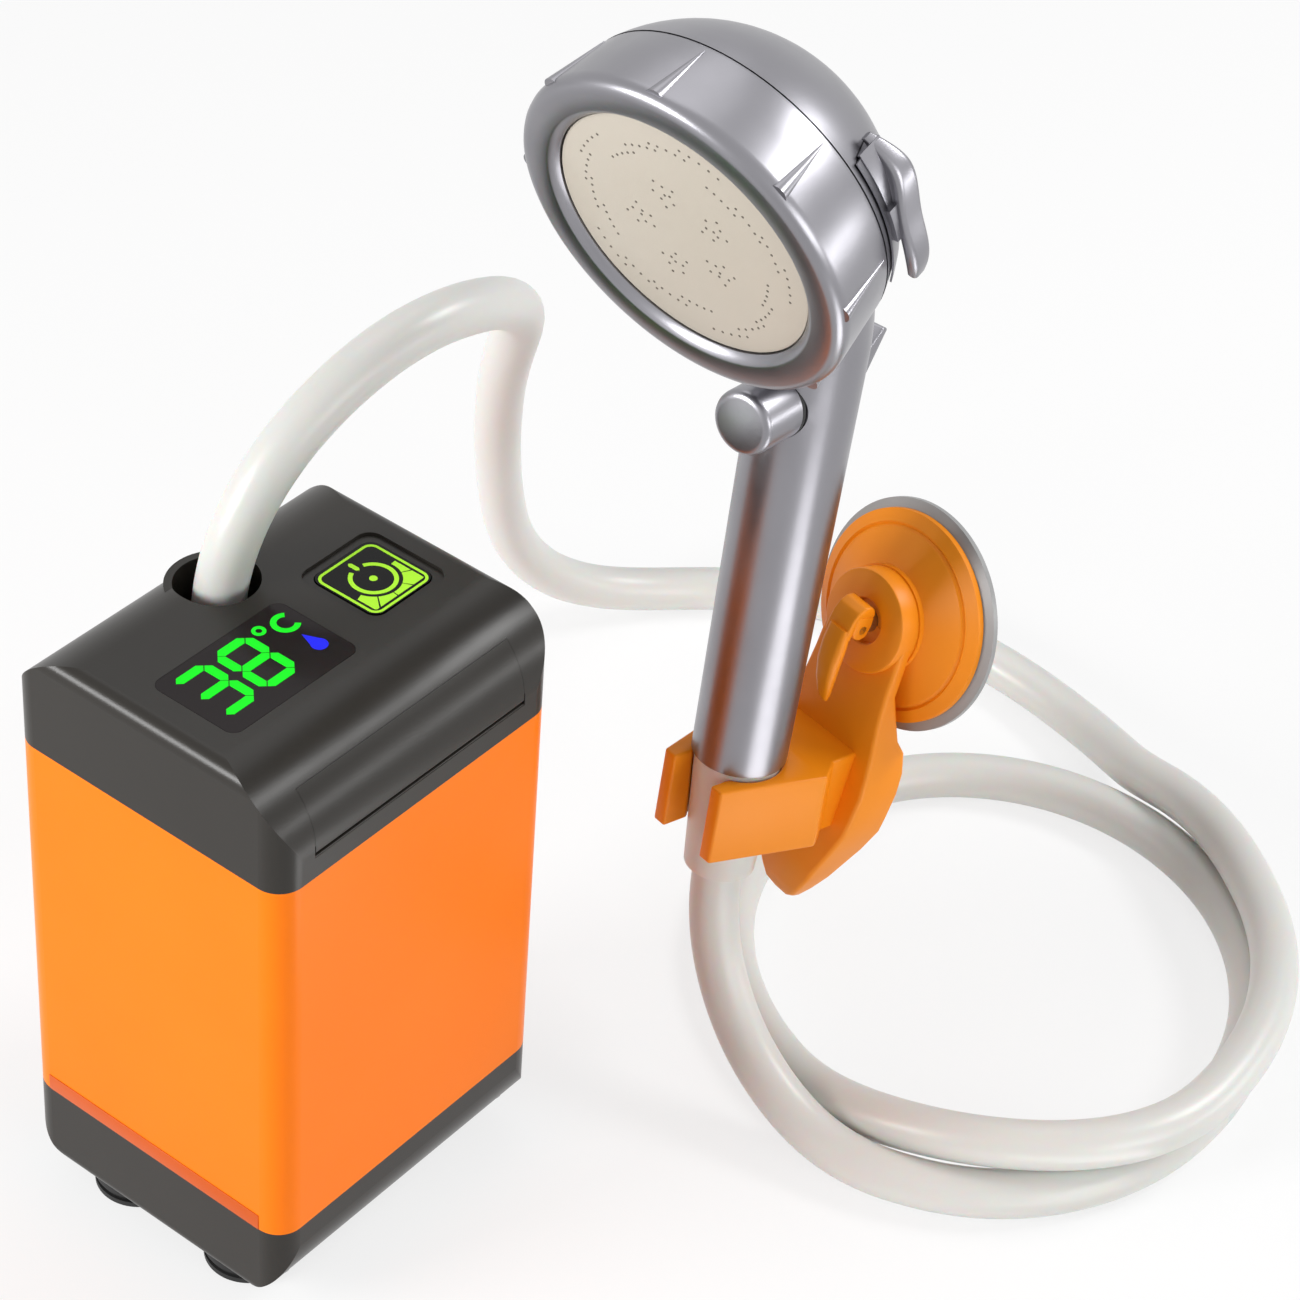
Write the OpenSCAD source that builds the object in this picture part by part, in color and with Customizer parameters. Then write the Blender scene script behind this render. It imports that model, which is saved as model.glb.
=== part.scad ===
// Camp shower set: battery pump, hose, hand shower and suction-cup holder.
// Millimetres, Z up, the pump's feet and the hose loop stand on Z = 0.

/* [Pump casing] */
// Width of the pump along X
body_w = 95; // [90:1:110]
// Depth of the pump along Y
body_d = 85; // [82:1:100]
// Height of the sleeve between the two seams
sleeve_h = 112; // [110:1:150]
// Height of the base below the lower seam
base_h = 24.5; // [23:0.5:32]
// Height of the top cover above the upper seam
cap_h = 29; // [28:0.5:36]
// Radius of the upright edges
edge_r = 7; // [5:0.5:10]
// Radius of the cover's front and back top edges
cap_r = 21; // [19:0.5:22]
// Radius of the base's front and back bottom edges
base_r = 18; // [14:0.5:20]
// Radius of the end edges of cover and base
end_r = 4; // [3.5:0.5:6]
// Wall of the sleeve, cover and base
wall = 2.5; // [2:0.1:3]
// Height of the feet
foot_h = 7.5; // [6:0.5:10]
// Diameter of the feet
foot_d = 23; // [20:0.5:24]
// Half distance between the feet along X
foot_x = 33.5; // [32:0.5:35]
// Half distance between the feet along Y
foot_y = 19; // [17:0.5:20]

/* [Cover fittings] */
// Width of the display window
lens_w = 42; // [36:0.5:43]
// Depth of the display window
lens_d = 26; // [24:0.5:28]
// Thickness of the display window
lens_t = 1.5; // [1:0.1:1.6]
// Place of the window along X
lens_x = -16.5; // [-18:0.5:-16]
// Place of the window along Y
lens_y = -6; // [-7:0.5:-5]
// Side of the square power button
button_side = 21; // [18:0.5:22]
// Side of the recess round the button
bezel_side = 26; // [24:0.5:27]
// Place of the button along X
button_x = 26.5; // [24:0.5:27]
// Place of the button along Y
button_y = -3; // [-5:0.5:-2]
// Travel of the button
button_travel = 0.8; // [0.5:0.1:0.9]
// Width of the charge flap
flap_w = 72; // [60:1:76]
// Thickness of the charge flap
flap_t = 2.2; // [1.8:0.1:2.4]
// Angle the charge flap covers of the rounded edge
flap_turn = 45; // [40:1:50]
// Diameter of the well the hose leaves by
well_d = 21; // [19:0.5:22]
// Place of the well along X
well_x = 1; // [-2:0.5:3]
// Place of the well along Y
well_y = 23; // [22:0.5:24]

/* [Pump inside] */
// Diameter of the motor
motor_d = 36; // [30:1:37]
// Length of the motor
motor_l = 45; // [38:1:60]
// Diameter of the motor shaft
shaft_d = 3; // [2.5:0.1:4]
// Place of the motor along Y
motor_y = -6; // [-8:0.5:-5]
// Diameter of the impeller
impeller_d = 30; // [26:0.5:31]
// Diameter of a battery cell
cell_d = 18.4; // [17:0.1:18.6]
// Length of a battery cell
cell_l = 65; // [60:1:66]
// Outer diameter of the outlet pipe
pipe_d = 11; // [10:0.5:12]
// Diameter of the case screws
screw_d = 3; // [2.5:0.1:3.5]

/* [Hose] */
// Outer diameter of the hose
hose_d = 13; // [12:0.1:13.2]
// Gap kept between touching turns of the loop
turn_gap = 0.6; // [0.5:0.1:1.5]
// Long half axis of the floor loop
loop_long = 78.5; // [76:0.5:84]
// Short half axis of the floor loop
loop_short = 73.5; // [72:0.5:78]

/* [Hand shower] */
// Diameter of the handle at its lower end
handle_d = 24.4; // [23:0.1:25]
// Diameter of the handle at the neck
neck_d = 26.8; // [26:0.1:28]
// Straight length of the handle
handle_l = 118; // [117:1:122]
// Outer diameter of the face ring
ring_d = 88; // [86:0.5:90]
// Depth of the face ring
ring_l = 20; // [19:0.5:21]
// Diameter of the spray plate in view
plate_d = 68; // [62:0.5:70]
// Height of the dome on the back of the head
dome_l = 30; // [29:0.5:32]
// Height of the face centre above the handle's end
face_up = 166.5; // [165:0.5:168]
// Distance of the face centre in front of the handle
face_fwd = 63.5; // [62:0.5:65]
// Tilt of the face below the handle's own front
face_tilt = 25.5; // [24:0.5:27]
// Diameter of the stop button
stop_d = 16.5; // [15:0.5:17.5]
// Height of the stop button above the handle's end
stop_up = 105.5; // [96:0.5:106]
// Travel of the stop button
stop_travel = 7; // [4:0.5:7]
// Length of the hose nut
nut_l = 35; // [32:0.5:36]
// Diameter of the hose nut at the handle
nut_top_d = 22.6; // [21:0.1:23]
// Diameter of the hose nut at the hose
nut_end_d = 18.4; // [17:0.1:19]

/* [Holder] */
// Diameter of the suction cup
cup_d = 60; // [58:0.5:66]
// Diameter of the cup's cover
cover_d = 55; // [50:0.5:56]
// Diameter of the boss in the middle of the holder
boss_d = 27; // [25:0.5:29]
// Thickness of the boss
boss_t = 6; // [5:0.5:7]
// Widest part of the tongue below the boss
tongue_w = 35; // [30:0.5:36]
// Length of the tongue below the boss's middle
tongue_l = 84.5; // [80:0.5:88]
// Height of the clip
clip_h = 22; // [18:0.5:24]
// Wall of the clip
clip_wall = 3.4; // [3:0.1:5]
// Width of the clip's slot for the hose
slot_w = 14; // [13.5:0.1:15]
// Diameter of the cup stem
stem_d = 6; // [5:0.5:7]
// Width of the cam lever
lever_w = 8; // [7.5:0.5:9]

/* [Fits] */
// Gap between pieces that move past each other
move_gap = 0.3; // [0.3:0.05:0.4]
// Gap of shafts and pins that turn or slide in a bore
run_gap = 0.06; // [0.03:0.01:0.08]
// Gap of pieces that are put together and stay
seat_gap = 0.1; // [0.05:0.01:0.12]

/* [Hidden] */
$fn = 64;

ORANGE = [1, 0.5, 0.12];
GREY = [0.24, 0.22, 0.2];
BLACK = [0.06, 0.06, 0.06];
SILVER = [0.8, 0.8, 0.82];
BEIGE = [0.8, 0.77, 0.72];
WHITE = [0.93, 0.92, 0.9];
GREEN = [0.1, 0.4, 0.2];
STEEL = [0.6, 0.6, 0.62];
SOFT_GREY = [0.55, 0.55, 0.55];

// Pump levels and inner sizes
pump_x = -58;
pump_y = 30;
base_z = foot_h;
sleeve_z = base_z + base_h;
cap_z = sleeve_z + sleeve_h;
inner_w = body_w - 2 * wall;
inner_d = body_d - 2 * wall;
inner_edge = edge_r - wall;
lip_h = 4;
lip_t = 2;
screw_x = inner_w / 2 - 5;
screw_y = inner_d / 2 - 5;
screw_r = screw_d / 2;
screw_head_r = screw_d * 0.95;
screw_z = base_z + 7;
boss_r = 4;

// Bulkhead and the wet end below it
plate_t = 4;
plate_z = sleeve_z + plate_t;
chamber_z = base_z + wall + 7;
chamber_r = impeller_d / 2 + 7;
cavity_r = impeller_d / 2 + 2;
cover_t = 2;
chamber_h = sleeve_z - chamber_z - cover_t;
filter_r = 15;
socket_r = pipe_d / 2 + 3;
pipe_bore = pipe_d / 2 - 1.5;
seal_r = shaft_d / 2 + 4.5;
strainer_slots = 7;
cell_x = -inner_w / 2 + cell_d / 2 + 3;
cell_y = cell_d / 2 + 1;
board_x = inner_w / 2 - 12;

// Cover fittings, heights measured from the cover's own seam
in_top = cap_h - wall;
board_t = 1.6;
board_gap = 3.5;
board_z = in_top - board_gap - board_t;
button_flange = button_side + 2.6;
button_edge = 3;
button_proud = 0.3;
switch_top = board_z + board_t + 1;
bezel_t = 0.8;
knuckle_r = 1.4;
flap_axis_y = -body_d / 2 + knuckle_r;
flap_axis_z = cap_h - cap_r;
flap_pin_r = 0.6;
flap_sill = 2;
pocket_r = cap_r - flap_t - move_gap;
pocket_wall = 2;
port_w = 9.2;
port_h = 3.4;
port_l = 12;
port_edge = 1.2;
port_z = flap_axis_z + 6;
port_front = -body_d / 2 + 4.2;
well_r = well_d / 2;
ledge_z = 2;
flange_t = 4;
fitting_r = well_r - seat_gap;
fitting_z = cap_z + ledge_z + flange_t;
throat_r = pipe_d / 2 + 2;

// Hand shower
shower_at = [45.7, -28.8, 103];
shower_lean = 7;
handle_bore = 7.5;
inlet_r = 9.2;
inlet_l = 14;
thread_l = 10;
washer_t = 2;
neck_bend = 40;
neck_turn = 82;
shell_t = 2.4;
ring_r = ring_d / 2;
dome_r = ring_r - 2.5;
dome_ball = (dome_r * dome_r + dome_l * dome_l) / (2 * dome_l);
dome_mid = ring_l + dome_l - dome_ball;
ring_lip = plate_d / 2;
rim_out = 0.8;
ring_in = dome_r - 2.5;
plate_r = ring_in - seat_gap;
plate_at = 2.5;
spray_t = 1.4;
spray_rows = [[ring_lip - 7.4, 24], [ring_lip - 11.4, 20], [ring_lip * 0.36, 10]];
distributor_at = 6;
distributor_t = 2.5;
selector_at = distributor_at + distributor_t + move_gap;
selector_t = 2.5;
selector_r = ring_in - 1.5;
selector_half = 15;
lever_angle = -98;
stem_in = 31;
stem_out = 35;
stem_half = 6;
arm_at = ring_l + 3;
arm_t = 4;
arm_out = dome_r + 0.8;
paddle_cuts = [[-14, 37, 44, 11, 16], [-6, 39.2, 42.7, 7.5, 13.5], [2, 40.2, 42.7, 5, 11],
  [10, 41, 44, 4.6, 10], [18, 42, 45.5, 5, 9], [23, 42.5, 45, 5, 7.5]];
grip_ribs = 8;
stop_r = stop_d / 2;
stop_front = 26;
stop_end = 4;
stop_stem_r = 3;
stop_tail = 15;
blade_w = 8;
seal_wire = 0.8;
seal_at = [-8, -11.5];
nut_r = nut_top_d / 2;
nut_end_r = nut_end_d / 2;
nut_bore = 5;

// Holder, placed from the hand shower it carries
cup_from_handle = [49.3, -14.6, 23];
cup_at = shower_at + cup_from_handle;
cup_yaw = -13;
cup_lean = 17;
boss_u = 11;
boss_front = boss_u + boss_t;
pin_out = 3.9;
cam_free = 0.7;
pin_u = boss_front + pin_out;
pin_r = 1.2;
cam_r = pin_out - cam_free;
finger_w = 5;
eye_t = 4;
eye_r = 2.6;
eye_clear = 0.5;
head_r = 8;
head_t = 1.5;
head_u = 5;
clip_top = -1.5;
clip_reach = 15;
clip_side = nut_r + move_gap + clip_wall;
clip_flare = 0.26;
clip_back = 14;
bridge_l = 30;
bridge_half = 14;
tongue_neck = boss_d / 2;

// Hose route
hose_r = hose_d / 2;
hose_sides = 12;
hose_floor = hose_r + 0.1;
turn_step = hose_d + turn_gap;
loop_x = 114;
loop_y = -70;
loop_turn = 36;
loop_end = 518;
loop_rings = 35;
end_out = 7.4;
lead = 12;
rise_lead = 11;
handle_axis = [sin(shower_lean), 0, cos(shower_lean)];
hose_start = [pump_x + well_x, pump_y + well_y, fitting_z];
hose_finish = shower_at - nut_l * handle_axis;
arch_points = [[-57, 53, 174], [-46, 50, 198], [-26, 46, 214], [-1, 43, 221], [26, 42, 216], [52, 51, 197],
  [70, 72, 163], [90, 90, 127], [109, 105, 94], [124, 115, 65], [134, 119, 42], [147, 116, 23],
  [165, 108, 11], [185, 95, 7], [202, 78, hose_floor], [214.5, 56, hose_floor], [222, 31, hose_floor],
  [224, 5, hose_floor], [220.5, -21, hose_floor], [212.5, -46, hose_floor + 1.9]];
rise_points = [[28.8, -73, 8], [32, -49, 20], [37, -33.5, 39.5]];

function ease(a, b, t) = let (x = min(1, max(0, (t - a) / (b - a)))) x * x * (3 - 2 * x);
function unit(v) = v / norm(v);

// The loop: two turns from one formula, the first lies on the second and comes down inside it
function loop_radius(a) =
  loop_long * loop_short / norm([loop_short * cos(a - loop_turn), loop_long * sin(a - loop_turn)]);
function under_out(t) = end_out * ease(80, 158, t);
function over_lean(t) = 90 - 74 * ease(-44, 38, t) - 106 * ease(100, 196, t);
function loop_out(t) = t < 360
  ? (under_out(min(t, 158)) + turn_step * sin(over_lean(t))) * (1 - ease(196, 290, t))
  : under_out(t - 360);
function loop_up(t) = t < 360 ? turn_step * max(0, cos(over_lean(t))) : 0;
function loop_at(t) = let (r = loop_radius(-t) + loop_out(t))
  [loop_x + r * cos(-t), loop_y + r * sin(-t), hose_floor + loop_up(t)];

// Free stretches: a cubic spline that starts and ends on its first and last point
function blend_at(a, b, c, d, t) =
  (a * pow(1 - t, 3) + b * (3 * t * t * t - 6 * t * t + 4) + c * (3 * t * t + 3 * t + 1 - 3 * t * t * t)
    + d * t * t * t) / 6;
function padded(p) = concat([2 * p[0] - p[1]], p, [2 * p[len(p) - 1] - p[len(p) - 2]]);
function spline(p) = let (q = padded(p)) concat(
  [for (i = [0 : len(q) - 4]) for (k = [0, 0.5]) blend_at(q[i], q[i + 1], q[i + 2], q[i + 3], k)],
  [p[len(p) - 1]]);

loop_route = [for (i = [0 : loop_rings]) loop_at(loop_end * i / loop_rings)];
loop_in_dir = unit(loop_at(1) - loop_at(0));
loop_out_dir = unit(loop_at(loop_end) - loop_at(loop_end - 1));
arch_route = spline(concat([hose_start], arch_points, [loop_at(0) - lead * loop_in_dir, loop_at(0)]));
rise_route = spline(concat([loop_at(loop_end), loop_at(loop_end) + rise_lead * loop_out_dir], rise_points,
  [hose_finish - rise_lead * handle_axis, hose_finish]));

// Least gap of the loop to itself, measured on points a quarter turn or more apart
fine_loop = [for (i = [0 : 172]) loop_at(loop_end * i / 172)];
loop_gap = min([for (i = [0 : 142]) for (j = [i + 30 : 172]) norm(fine_loop[i] - fine_loop[j])]) - hose_d;
echo(str("least gap of the hose loop to itself: ", loop_gap, " mm"));

// A round tube along a route, with its two end faces square to the given directions
module tube(route, first_dir, last_dir) {
  n = len(route);
  m = hose_sides;
  dirs = [for (i = [0 : n - 1])
    i == 0 ? first_dir : i == n - 1 ? last_dir : unit(route[i + 1] - route[i - 1])];
  sides = [for (i = 0, s = unit(cross(dirs[0], [0.3, 0.9, 0.2])); i < n;
    i = i + 1, s = i < n ? unit(s - (s * dirs[i]) * dirs[i]) : s) s];
  rings = [for (i = [0 : n - 1]) for (k = [0 : m - 1])
    route[i] + hose_r * (cos(360 * k / m) * sides[i] + sin(360 * k / m) * cross(dirs[i], sides[i]))];
  walls = [for (i = [0 : n - 2]) for (k = [0 : m - 1]) let (a = i * m + k, b = i * m + (k + 1) % m)
    each [[a, a + m, b], [b, a + m, b + m]]];
  first_cap = [for (k = [1 : m - 2]) [0, k, k + 1]];
  last_cap = [for (k = [1 : m - 2]) [(n - 1) * m, (n - 1) * m + k + 1, (n - 1) * m + k]];
  polyhedron(rings, concat(walls, first_cap, last_cap), convexity = 6);
}

// Shared shapes
module rounded(w, d, r) {
  square([w - 2 * r, d], center = true);
  square([w, d - 2 * r], center = true);
  for (sx = [-1, 1], sy = [-1, 1])
    translate([sx * (w / 2 - r), sy * (d / 2 - r)]) circle(r);
}

module slab(w, d, r, h) linear_extrude(h) rounded(w, d, r);

module frame_slab(w, d, r, h, t) linear_extrude(h) difference() {
  rounded(w, d, r);
  rounded(w - 2 * t, d - 2 * t, max(r - t, 0.5));
}

module arched(w, h, r) {
  translate([-w / 2, 0]) square([w, h - r]);
  translate([r - w / 2, 0]) square([w - 2 * r, h]);
  for (s = [-1, 1])
    translate([s * (w / 2 - r), h - r]) circle(r);
}

// Block with round upright edges, radius rf on its front and back top edges and re on its end top edges
module casing(w, d, h, r, rf, re) intersection() {
  slab(w, d, r, h);
  rotate([90, 0, 90]) translate([0, 0, -w / 2]) linear_extrude(w) arched(d, h, rf);
  rotate([90, 0, 0]) translate([0, 0, -d / 2]) linear_extrude(d) arched(w, h, re);
}

module ring(r_out, r_in, h) difference() {
  cylinder(r = r_out, h = h);
  translate([0, 0, -1]) cylinder(r = r_in, h = h + 2);
}

module in_pump(z = 0) translate([pump_x, pump_y, z]) children();

module at_corners(x, y) for (sx = [-1, 1], sy = [-1, 1]) translate([sx * x, sy * y, 0]) children();

// Pump casing
module body_sleeve() color(ORANGE) in_pump(sleeve_z) frame_slab(body_w, body_d, edge_r, sleeve_h, wall);

module front_arc(r_out, r_in, from, to, l)
  translate([-l / 2, cap_r - body_d / 2, cap_h - cap_r]) rotate([90, 0, 90]) linear_extrude(l)
    intersection() {
      difference() {
        circle(r_out);
        circle(r_in);
      }
      polygon([[0, 0], 2 * r_out * [cos(from), sin(from)], 2 * r_out * [cos(to), sin(to)]]);
    }

module flap_rod(r, l)
  translate([-l / 2, flap_axis_y, flap_axis_z]) rotate([0, 90, 0]) cylinder(r = r, h = l);

module top_cover() color(GREY) in_pump(cap_z) difference() {
  union() {
    difference() {
      casing(body_w, body_d, cap_h, edge_r, cap_r, end_r);
      translate([0, 0, -1]) casing(inner_w, inner_d, in_top + 1, inner_edge, cap_r - wall, end_r - wall + 1);
    }
    translate([0, 0, -lip_h])
      frame_slab(inner_w - 2 * seat_gap, inner_d - 2 * seat_gap, inner_edge - seat_gap, lip_h + 2, lip_t);
    frame_slab(inner_w + 1, inner_d + 1, inner_edge, 2, lip_t);
    translate([well_x, well_y, 0]) cylinder(r = well_r + 2, h = in_top + 1);
    at_corners(screw_x, screw_y) cylinder(r = boss_r, h = cap_h - cap_r + 7);
    for (x = [lens_x - lens_w / 2 + 2, button_x + button_flange / 2 + 3.6])
      for (y = [button_y - 11, button_y + 9])
        translate([x, y, board_z + board_t]) cylinder(r = 1.6, h = board_gap + 1);
    front_arc(pocket_r, pocket_r - pocket_wall, 170 - flap_turn, 180, flap_w + 8);
    translate([-flap_w / 2 - 4, -inner_d / 2 - 0.5, flap_axis_z - 4]) cube([flap_w + 8, 3.5, 4.5]);
  }
  translate([well_x, well_y, ledge_z]) cylinder(r = well_r, h = cap_h);
  translate([well_x, well_y, -1]) cylinder(r = throat_r + seat_gap, h = cap_h);
  at_corners(screw_x, screw_y) translate([0, 0, -1]) cylinder(r = screw_r + seat_gap, h = 11 + seat_gap);
  translate([lens_x, lens_y, cap_h - lens_t]) slab(lens_w + 2 * seat_gap, lens_d + 2 * seat_gap, 3, 2);
  translate([lens_x, lens_y, in_top - 2]) slab(lens_w - 5, lens_d - 5, 2, wall + 3);
  translate([button_x, button_y, cap_h - bezel_t]) slab(bezel_side, bezel_side, 4, 2);
  translate([button_x, button_y, in_top - 1])
    slab(button_side + 2 * move_gap, button_side + 2 * move_gap, button_edge + move_gap, wall + 2);
  front_arc(cap_r + 2, pocket_r, 179 - flap_turn, 180, flap_w + 2 * move_gap);
  flap_rod(knuckle_r + move_gap, flap_w + 2 * move_gap);
  translate([-flap_w / 2 - move_gap, -body_d / 2 - 1, flap_axis_z - flap_sill])
    cube([flap_w + 2 * move_gap, knuckle_r + 1, flap_sill]);
  flap_rod(flap_pin_r + seat_gap, flap_w + 6);
  translate([0, port_front + port_l + 1, port_z]) rotate([90, 0, 0])
    slab(port_w + 2 * seat_gap, port_h + 2 * seat_gap, port_edge, port_l + 2);
  gasket_ring();
}

// The seal round the lip, which is also cut from the lip as its groove
module gasket_ring() translate([0, 0, -lip_h + 1]) linear_extrude(1.6) difference() {
  rounded(inner_w, inner_d, inner_edge);
  rounded(inner_w - lip_t, inner_d - lip_t, inner_edge - lip_t / 2);
}

module cover_gasket() color(BLACK) in_pump(cap_z) gasket_ring();

module base_cap() color(GREY) in_pump() difference() {
  union() {
    difference() {
      translate([0, 0, sleeve_z]) mirror([0, 0, 1]) casing(body_w, body_d, base_h, edge_r, base_r, end_r);
      translate([0, 0, sleeve_z + 1]) mirror([0, 0, 1])
        casing(inner_w, inner_d, base_h - wall + 1, inner_edge, base_r - wall, end_r - wall + 1);
    }
    intersection() {
      at_corners(screw_x, screw_y) translate([0, 0, base_z]) cylinder(r = boss_r, h = base_h);
      translate([0, 0, sleeve_z]) mirror([0, 0, 1]) casing(body_w, body_d, base_h, edge_r, base_r, end_r);
    }
  }
  at_corners(screw_x, screw_y) translate([0, 0, base_z - 1]) cylinder(r = screw_r + seat_gap, h = base_h + 2);
  at_corners(screw_x, screw_y) translate([0, 0, base_z - 1]) cylinder(r = screw_head_r + seat_gap,
    h = screw_z - base_z + 1);
  at_corners(foot_x, foot_y) translate([0, 0, base_z - 1]) cylinder(r = 3 + seat_gap, h = wall + 2);
  for (i = [0 : strainer_slots - 1])
    translate([(i - (strainer_slots - 1) / 2) * 6 - 1.2, -body_d / 2 + base_r + 1, base_z - 1])
      cube([2.4, body_d - 2 * base_r - 14, wall + 2]);
  translate([body_w / 2 - 18, -body_d / 2 + wall + 2, base_z - 5]) rotate([90, 0, 0])
    cylinder(r = 13, h = wall + 4);
}

module feet() color(BLACK) in_pump() at_corners(foot_x, foot_y) {
  cylinder(r1 = foot_d / 2 - 1.5, r2 = foot_d / 2 - 1, h = 1.5);
  translate([0, 0, 1.5]) cylinder(r = foot_d / 2, h = 1.5);
  translate([0, 0, 3]) cylinder(r = foot_d / 2 - 0.8, h = 1.5);
  translate([0, 0, 4.5]) cylinder(r = foot_d / 2, h = foot_h - 4.5);
  translate([0, 0, foot_h]) cylinder(r = 3, h = wall);
}

module case_screws() color(STEEL) in_pump() at_corners(screw_x, screw_y) {
  translate([0, 0, screw_z - 2]) cylinder(r = screw_head_r, h = 2);
  translate([0, 0, screw_z]) cylinder(r = screw_r, h = cap_z + 9 - screw_z);
}

// Pump inside
module bulkhead() color(WHITE) in_pump() difference() {
  union() {
    translate([0, 0, sleeve_z])
      slab(inner_w - 2 * seat_gap, inner_d - 2 * seat_gap, inner_edge - seat_gap, plate_t);
    translate([0, 0, sleeve_z - 2]) frame_slab(inner_w - 2 * seat_gap, inner_d - 2 * seat_gap,
      inner_edge - seat_gap, 2.5, lip_t);
  }
  translate([0, motor_y, sleeve_z - 3]) cylinder(r = seal_r + seat_gap, h = plate_t + 4);
  translate([well_x, well_y, sleeve_z - 3]) cylinder(r = pipe_d / 2 + seat_gap, h = plate_t + 4);
  at_corners(screw_x, screw_y) translate([0, 0, sleeve_z - 3])
    cylinder(r = screw_r + seat_gap, h = plate_t + 4);
  at_corners(screw_x, screw_y) translate([0, 0, sleeve_z - 3]) cylinder(r = boss_r + seat_gap, h = 3);
  translate([0, 0, sleeve_z + 1]) plate_seal();
}

module plate_seal() linear_extrude(1.6) difference() {
  rounded(inner_w, inner_d, inner_edge);
  rounded(inner_w - 2, inner_d - 2, inner_edge - 1);
}

module bulkhead_gasket() color(BLACK) in_pump(sleeve_z + 1) plate_seal();

module motor_can() color(STEEL) in_pump() translate([0, motor_y, plate_z]) difference() {
  union() {
    cylinder(r = motor_d / 2, h = motor_l);
    translate([0, 0, motor_l]) cylinder(r = 5, h = 3);
  }
  translate([0, 0, -1]) cylinder(r = shaft_d / 2 + run_gap, h = motor_l + 5);
}

module motor_shaft() color(STEEL) in_pump() translate([0, motor_y, chamber_z + cover_t + 1])
  cylinder(r = shaft_d / 2, h = plate_z + motor_l + 4 - chamber_z - cover_t - 1);

module shaft_seal() color(BLACK) in_pump() translate([0, motor_y, sleeve_z])
  ring(seal_r, shaft_d / 2 + run_gap, plate_t);

module impeller() color(WHITE) in_pump() translate([0, motor_y, chamber_z + cover_t + 1]) difference() {
  union() {
    translate([0, 0, 5]) cylinder(r = impeller_d / 2, h = 1.5);
    cylinder(r = shaft_d / 2 + 2.5, h = 6);
    for (i = [0 : 5])
      rotate(60 * i) translate([shaft_d / 2 + 1, -0.75, 1])
        cube([impeller_d / 2 - shaft_d / 2 - 1.5, 1.5, 4.5]);
  }
  translate([0, 0, -1]) cylinder(r = shaft_d / 2, h = 10);
}

module pump_chamber() color(GREY) in_pump() difference() {
  union() {
    translate([0, motor_y, chamber_z + cover_t]) cylinder(r = chamber_r, h = chamber_h);
    translate([well_x, well_y, chamber_z + cover_t]) cylinder(r = socket_r, h = chamber_h);
    translate([well_x - 6, motor_y, chamber_z + cover_t]) cube([12, well_y - motor_y, chamber_h]);
  }
  translate([0, motor_y, chamber_z]) cylinder(r = cavity_r, h = cover_t + 9);
  translate([0, motor_y, chamber_z]) cylinder(r = shaft_d / 2 + move_gap, h = sleeve_z);
  translate([well_x, motor_y + chamber_r - 10, chamber_z + cover_t + 5]) rotate([-90, 0, 0])
    cylinder(r = 3.5, h = well_y - motor_y - chamber_r + 10);
  translate([well_x, well_y, chamber_z + cover_t + 2]) cylinder(r = pipe_bore, h = sleeve_z);
  translate([well_x, well_y, sleeve_z - 6]) cylinder(r = pipe_d / 2 + seat_gap, h = 20);
}

module chamber_cover() color(GREY) in_pump() translate([0, motor_y, chamber_z]) ring(chamber_r, 7, cover_t);

module intake_filter() color(WHITE) in_pump() translate([0, motor_y, base_z + wall]) difference() {
  ring(filter_r, filter_r - 2, chamber_z - base_z - wall);
  for (i = [0 : 11])
    rotate(30 * i + 15) translate([filter_r - 4, -1.2, 1.5]) cube([6, 2.4, chamber_z - base_z - wall - 3]);
}

module outlet_pipe() color(WHITE) in_pump() translate([well_x, well_y, sleeve_z - 6]) difference() {
  ring(pipe_d / 2, pipe_bore, cap_z - sleeve_z + 2);
  translate([0, 0, sleeve_h - 20]) rotate([0, 90, 0]) cylinder(r = 1.5 + seat_gap, h = pipe_d);
}

module outlet_fitting() color(GREY) in_pump() translate([well_x, well_y, 0]) difference() {
  union() {
    translate([0, 0, cap_z - 12]) cylinder(r = throat_r, h = 12 + ledge_z);
    translate([0, 0, cap_z + ledge_z]) cylinder(r = fitting_r, h = flange_t);
  }
  translate([0, 0, cap_z - 13]) cylinder(r = pipe_d / 2 + seat_gap, h = 9);
  translate([0, 0, cap_z - 5]) cylinder(r = pipe_bore, h = 20);
}

module temperature_probe() color(STEEL)
  in_pump() translate([well_x + 1, well_y, sleeve_z - 6 + sleeve_h - 20]) rotate([0, 90, 0]) {
    cylinder(r = 1.5, h = 10);
    translate([0, 0, pipe_d / 2]) cylinder(r = 2.5, h = 4);
  }

module battery_cells() color(GREEN) in_pump() for (s = [-1, 1])
  translate([cell_x, s * cell_y, plate_z + 3]) cylinder(r = cell_d / 2, h = cell_l);

module battery_holder() color(BLACK) in_pump() {
  for (z = [plate_z, plate_z + 3 + cell_l])
    translate([cell_x - cell_d / 2 - 1, -2 * cell_y, z]) cube([cell_d + 2, 4 * cell_y, 3]);
  translate([cell_x - cell_d / 2 - 2.5, -cell_d, plate_z]) cube([1.5, 2 * cell_d, cell_l + 6]);
}

module control_board() color(GREEN) in_pump() translate([board_x, -26, plate_z]) {
  cube([1.6, 44, 70]);
  translate([-6, 6, 12]) cube([6, 10, 10]);
  translate([-4, 22, 30]) cube([4, 14, 14]);
  translate([-8, 12, 58]) rotate([0, 90, 0]) cylinder(r = 4, h = 8);
}

module display_lens() color(BLACK) in_pump(cap_z) translate([lens_x, lens_y, cap_h - lens_t])
  slab(lens_w, lens_d, 2.8, lens_t);

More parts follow.
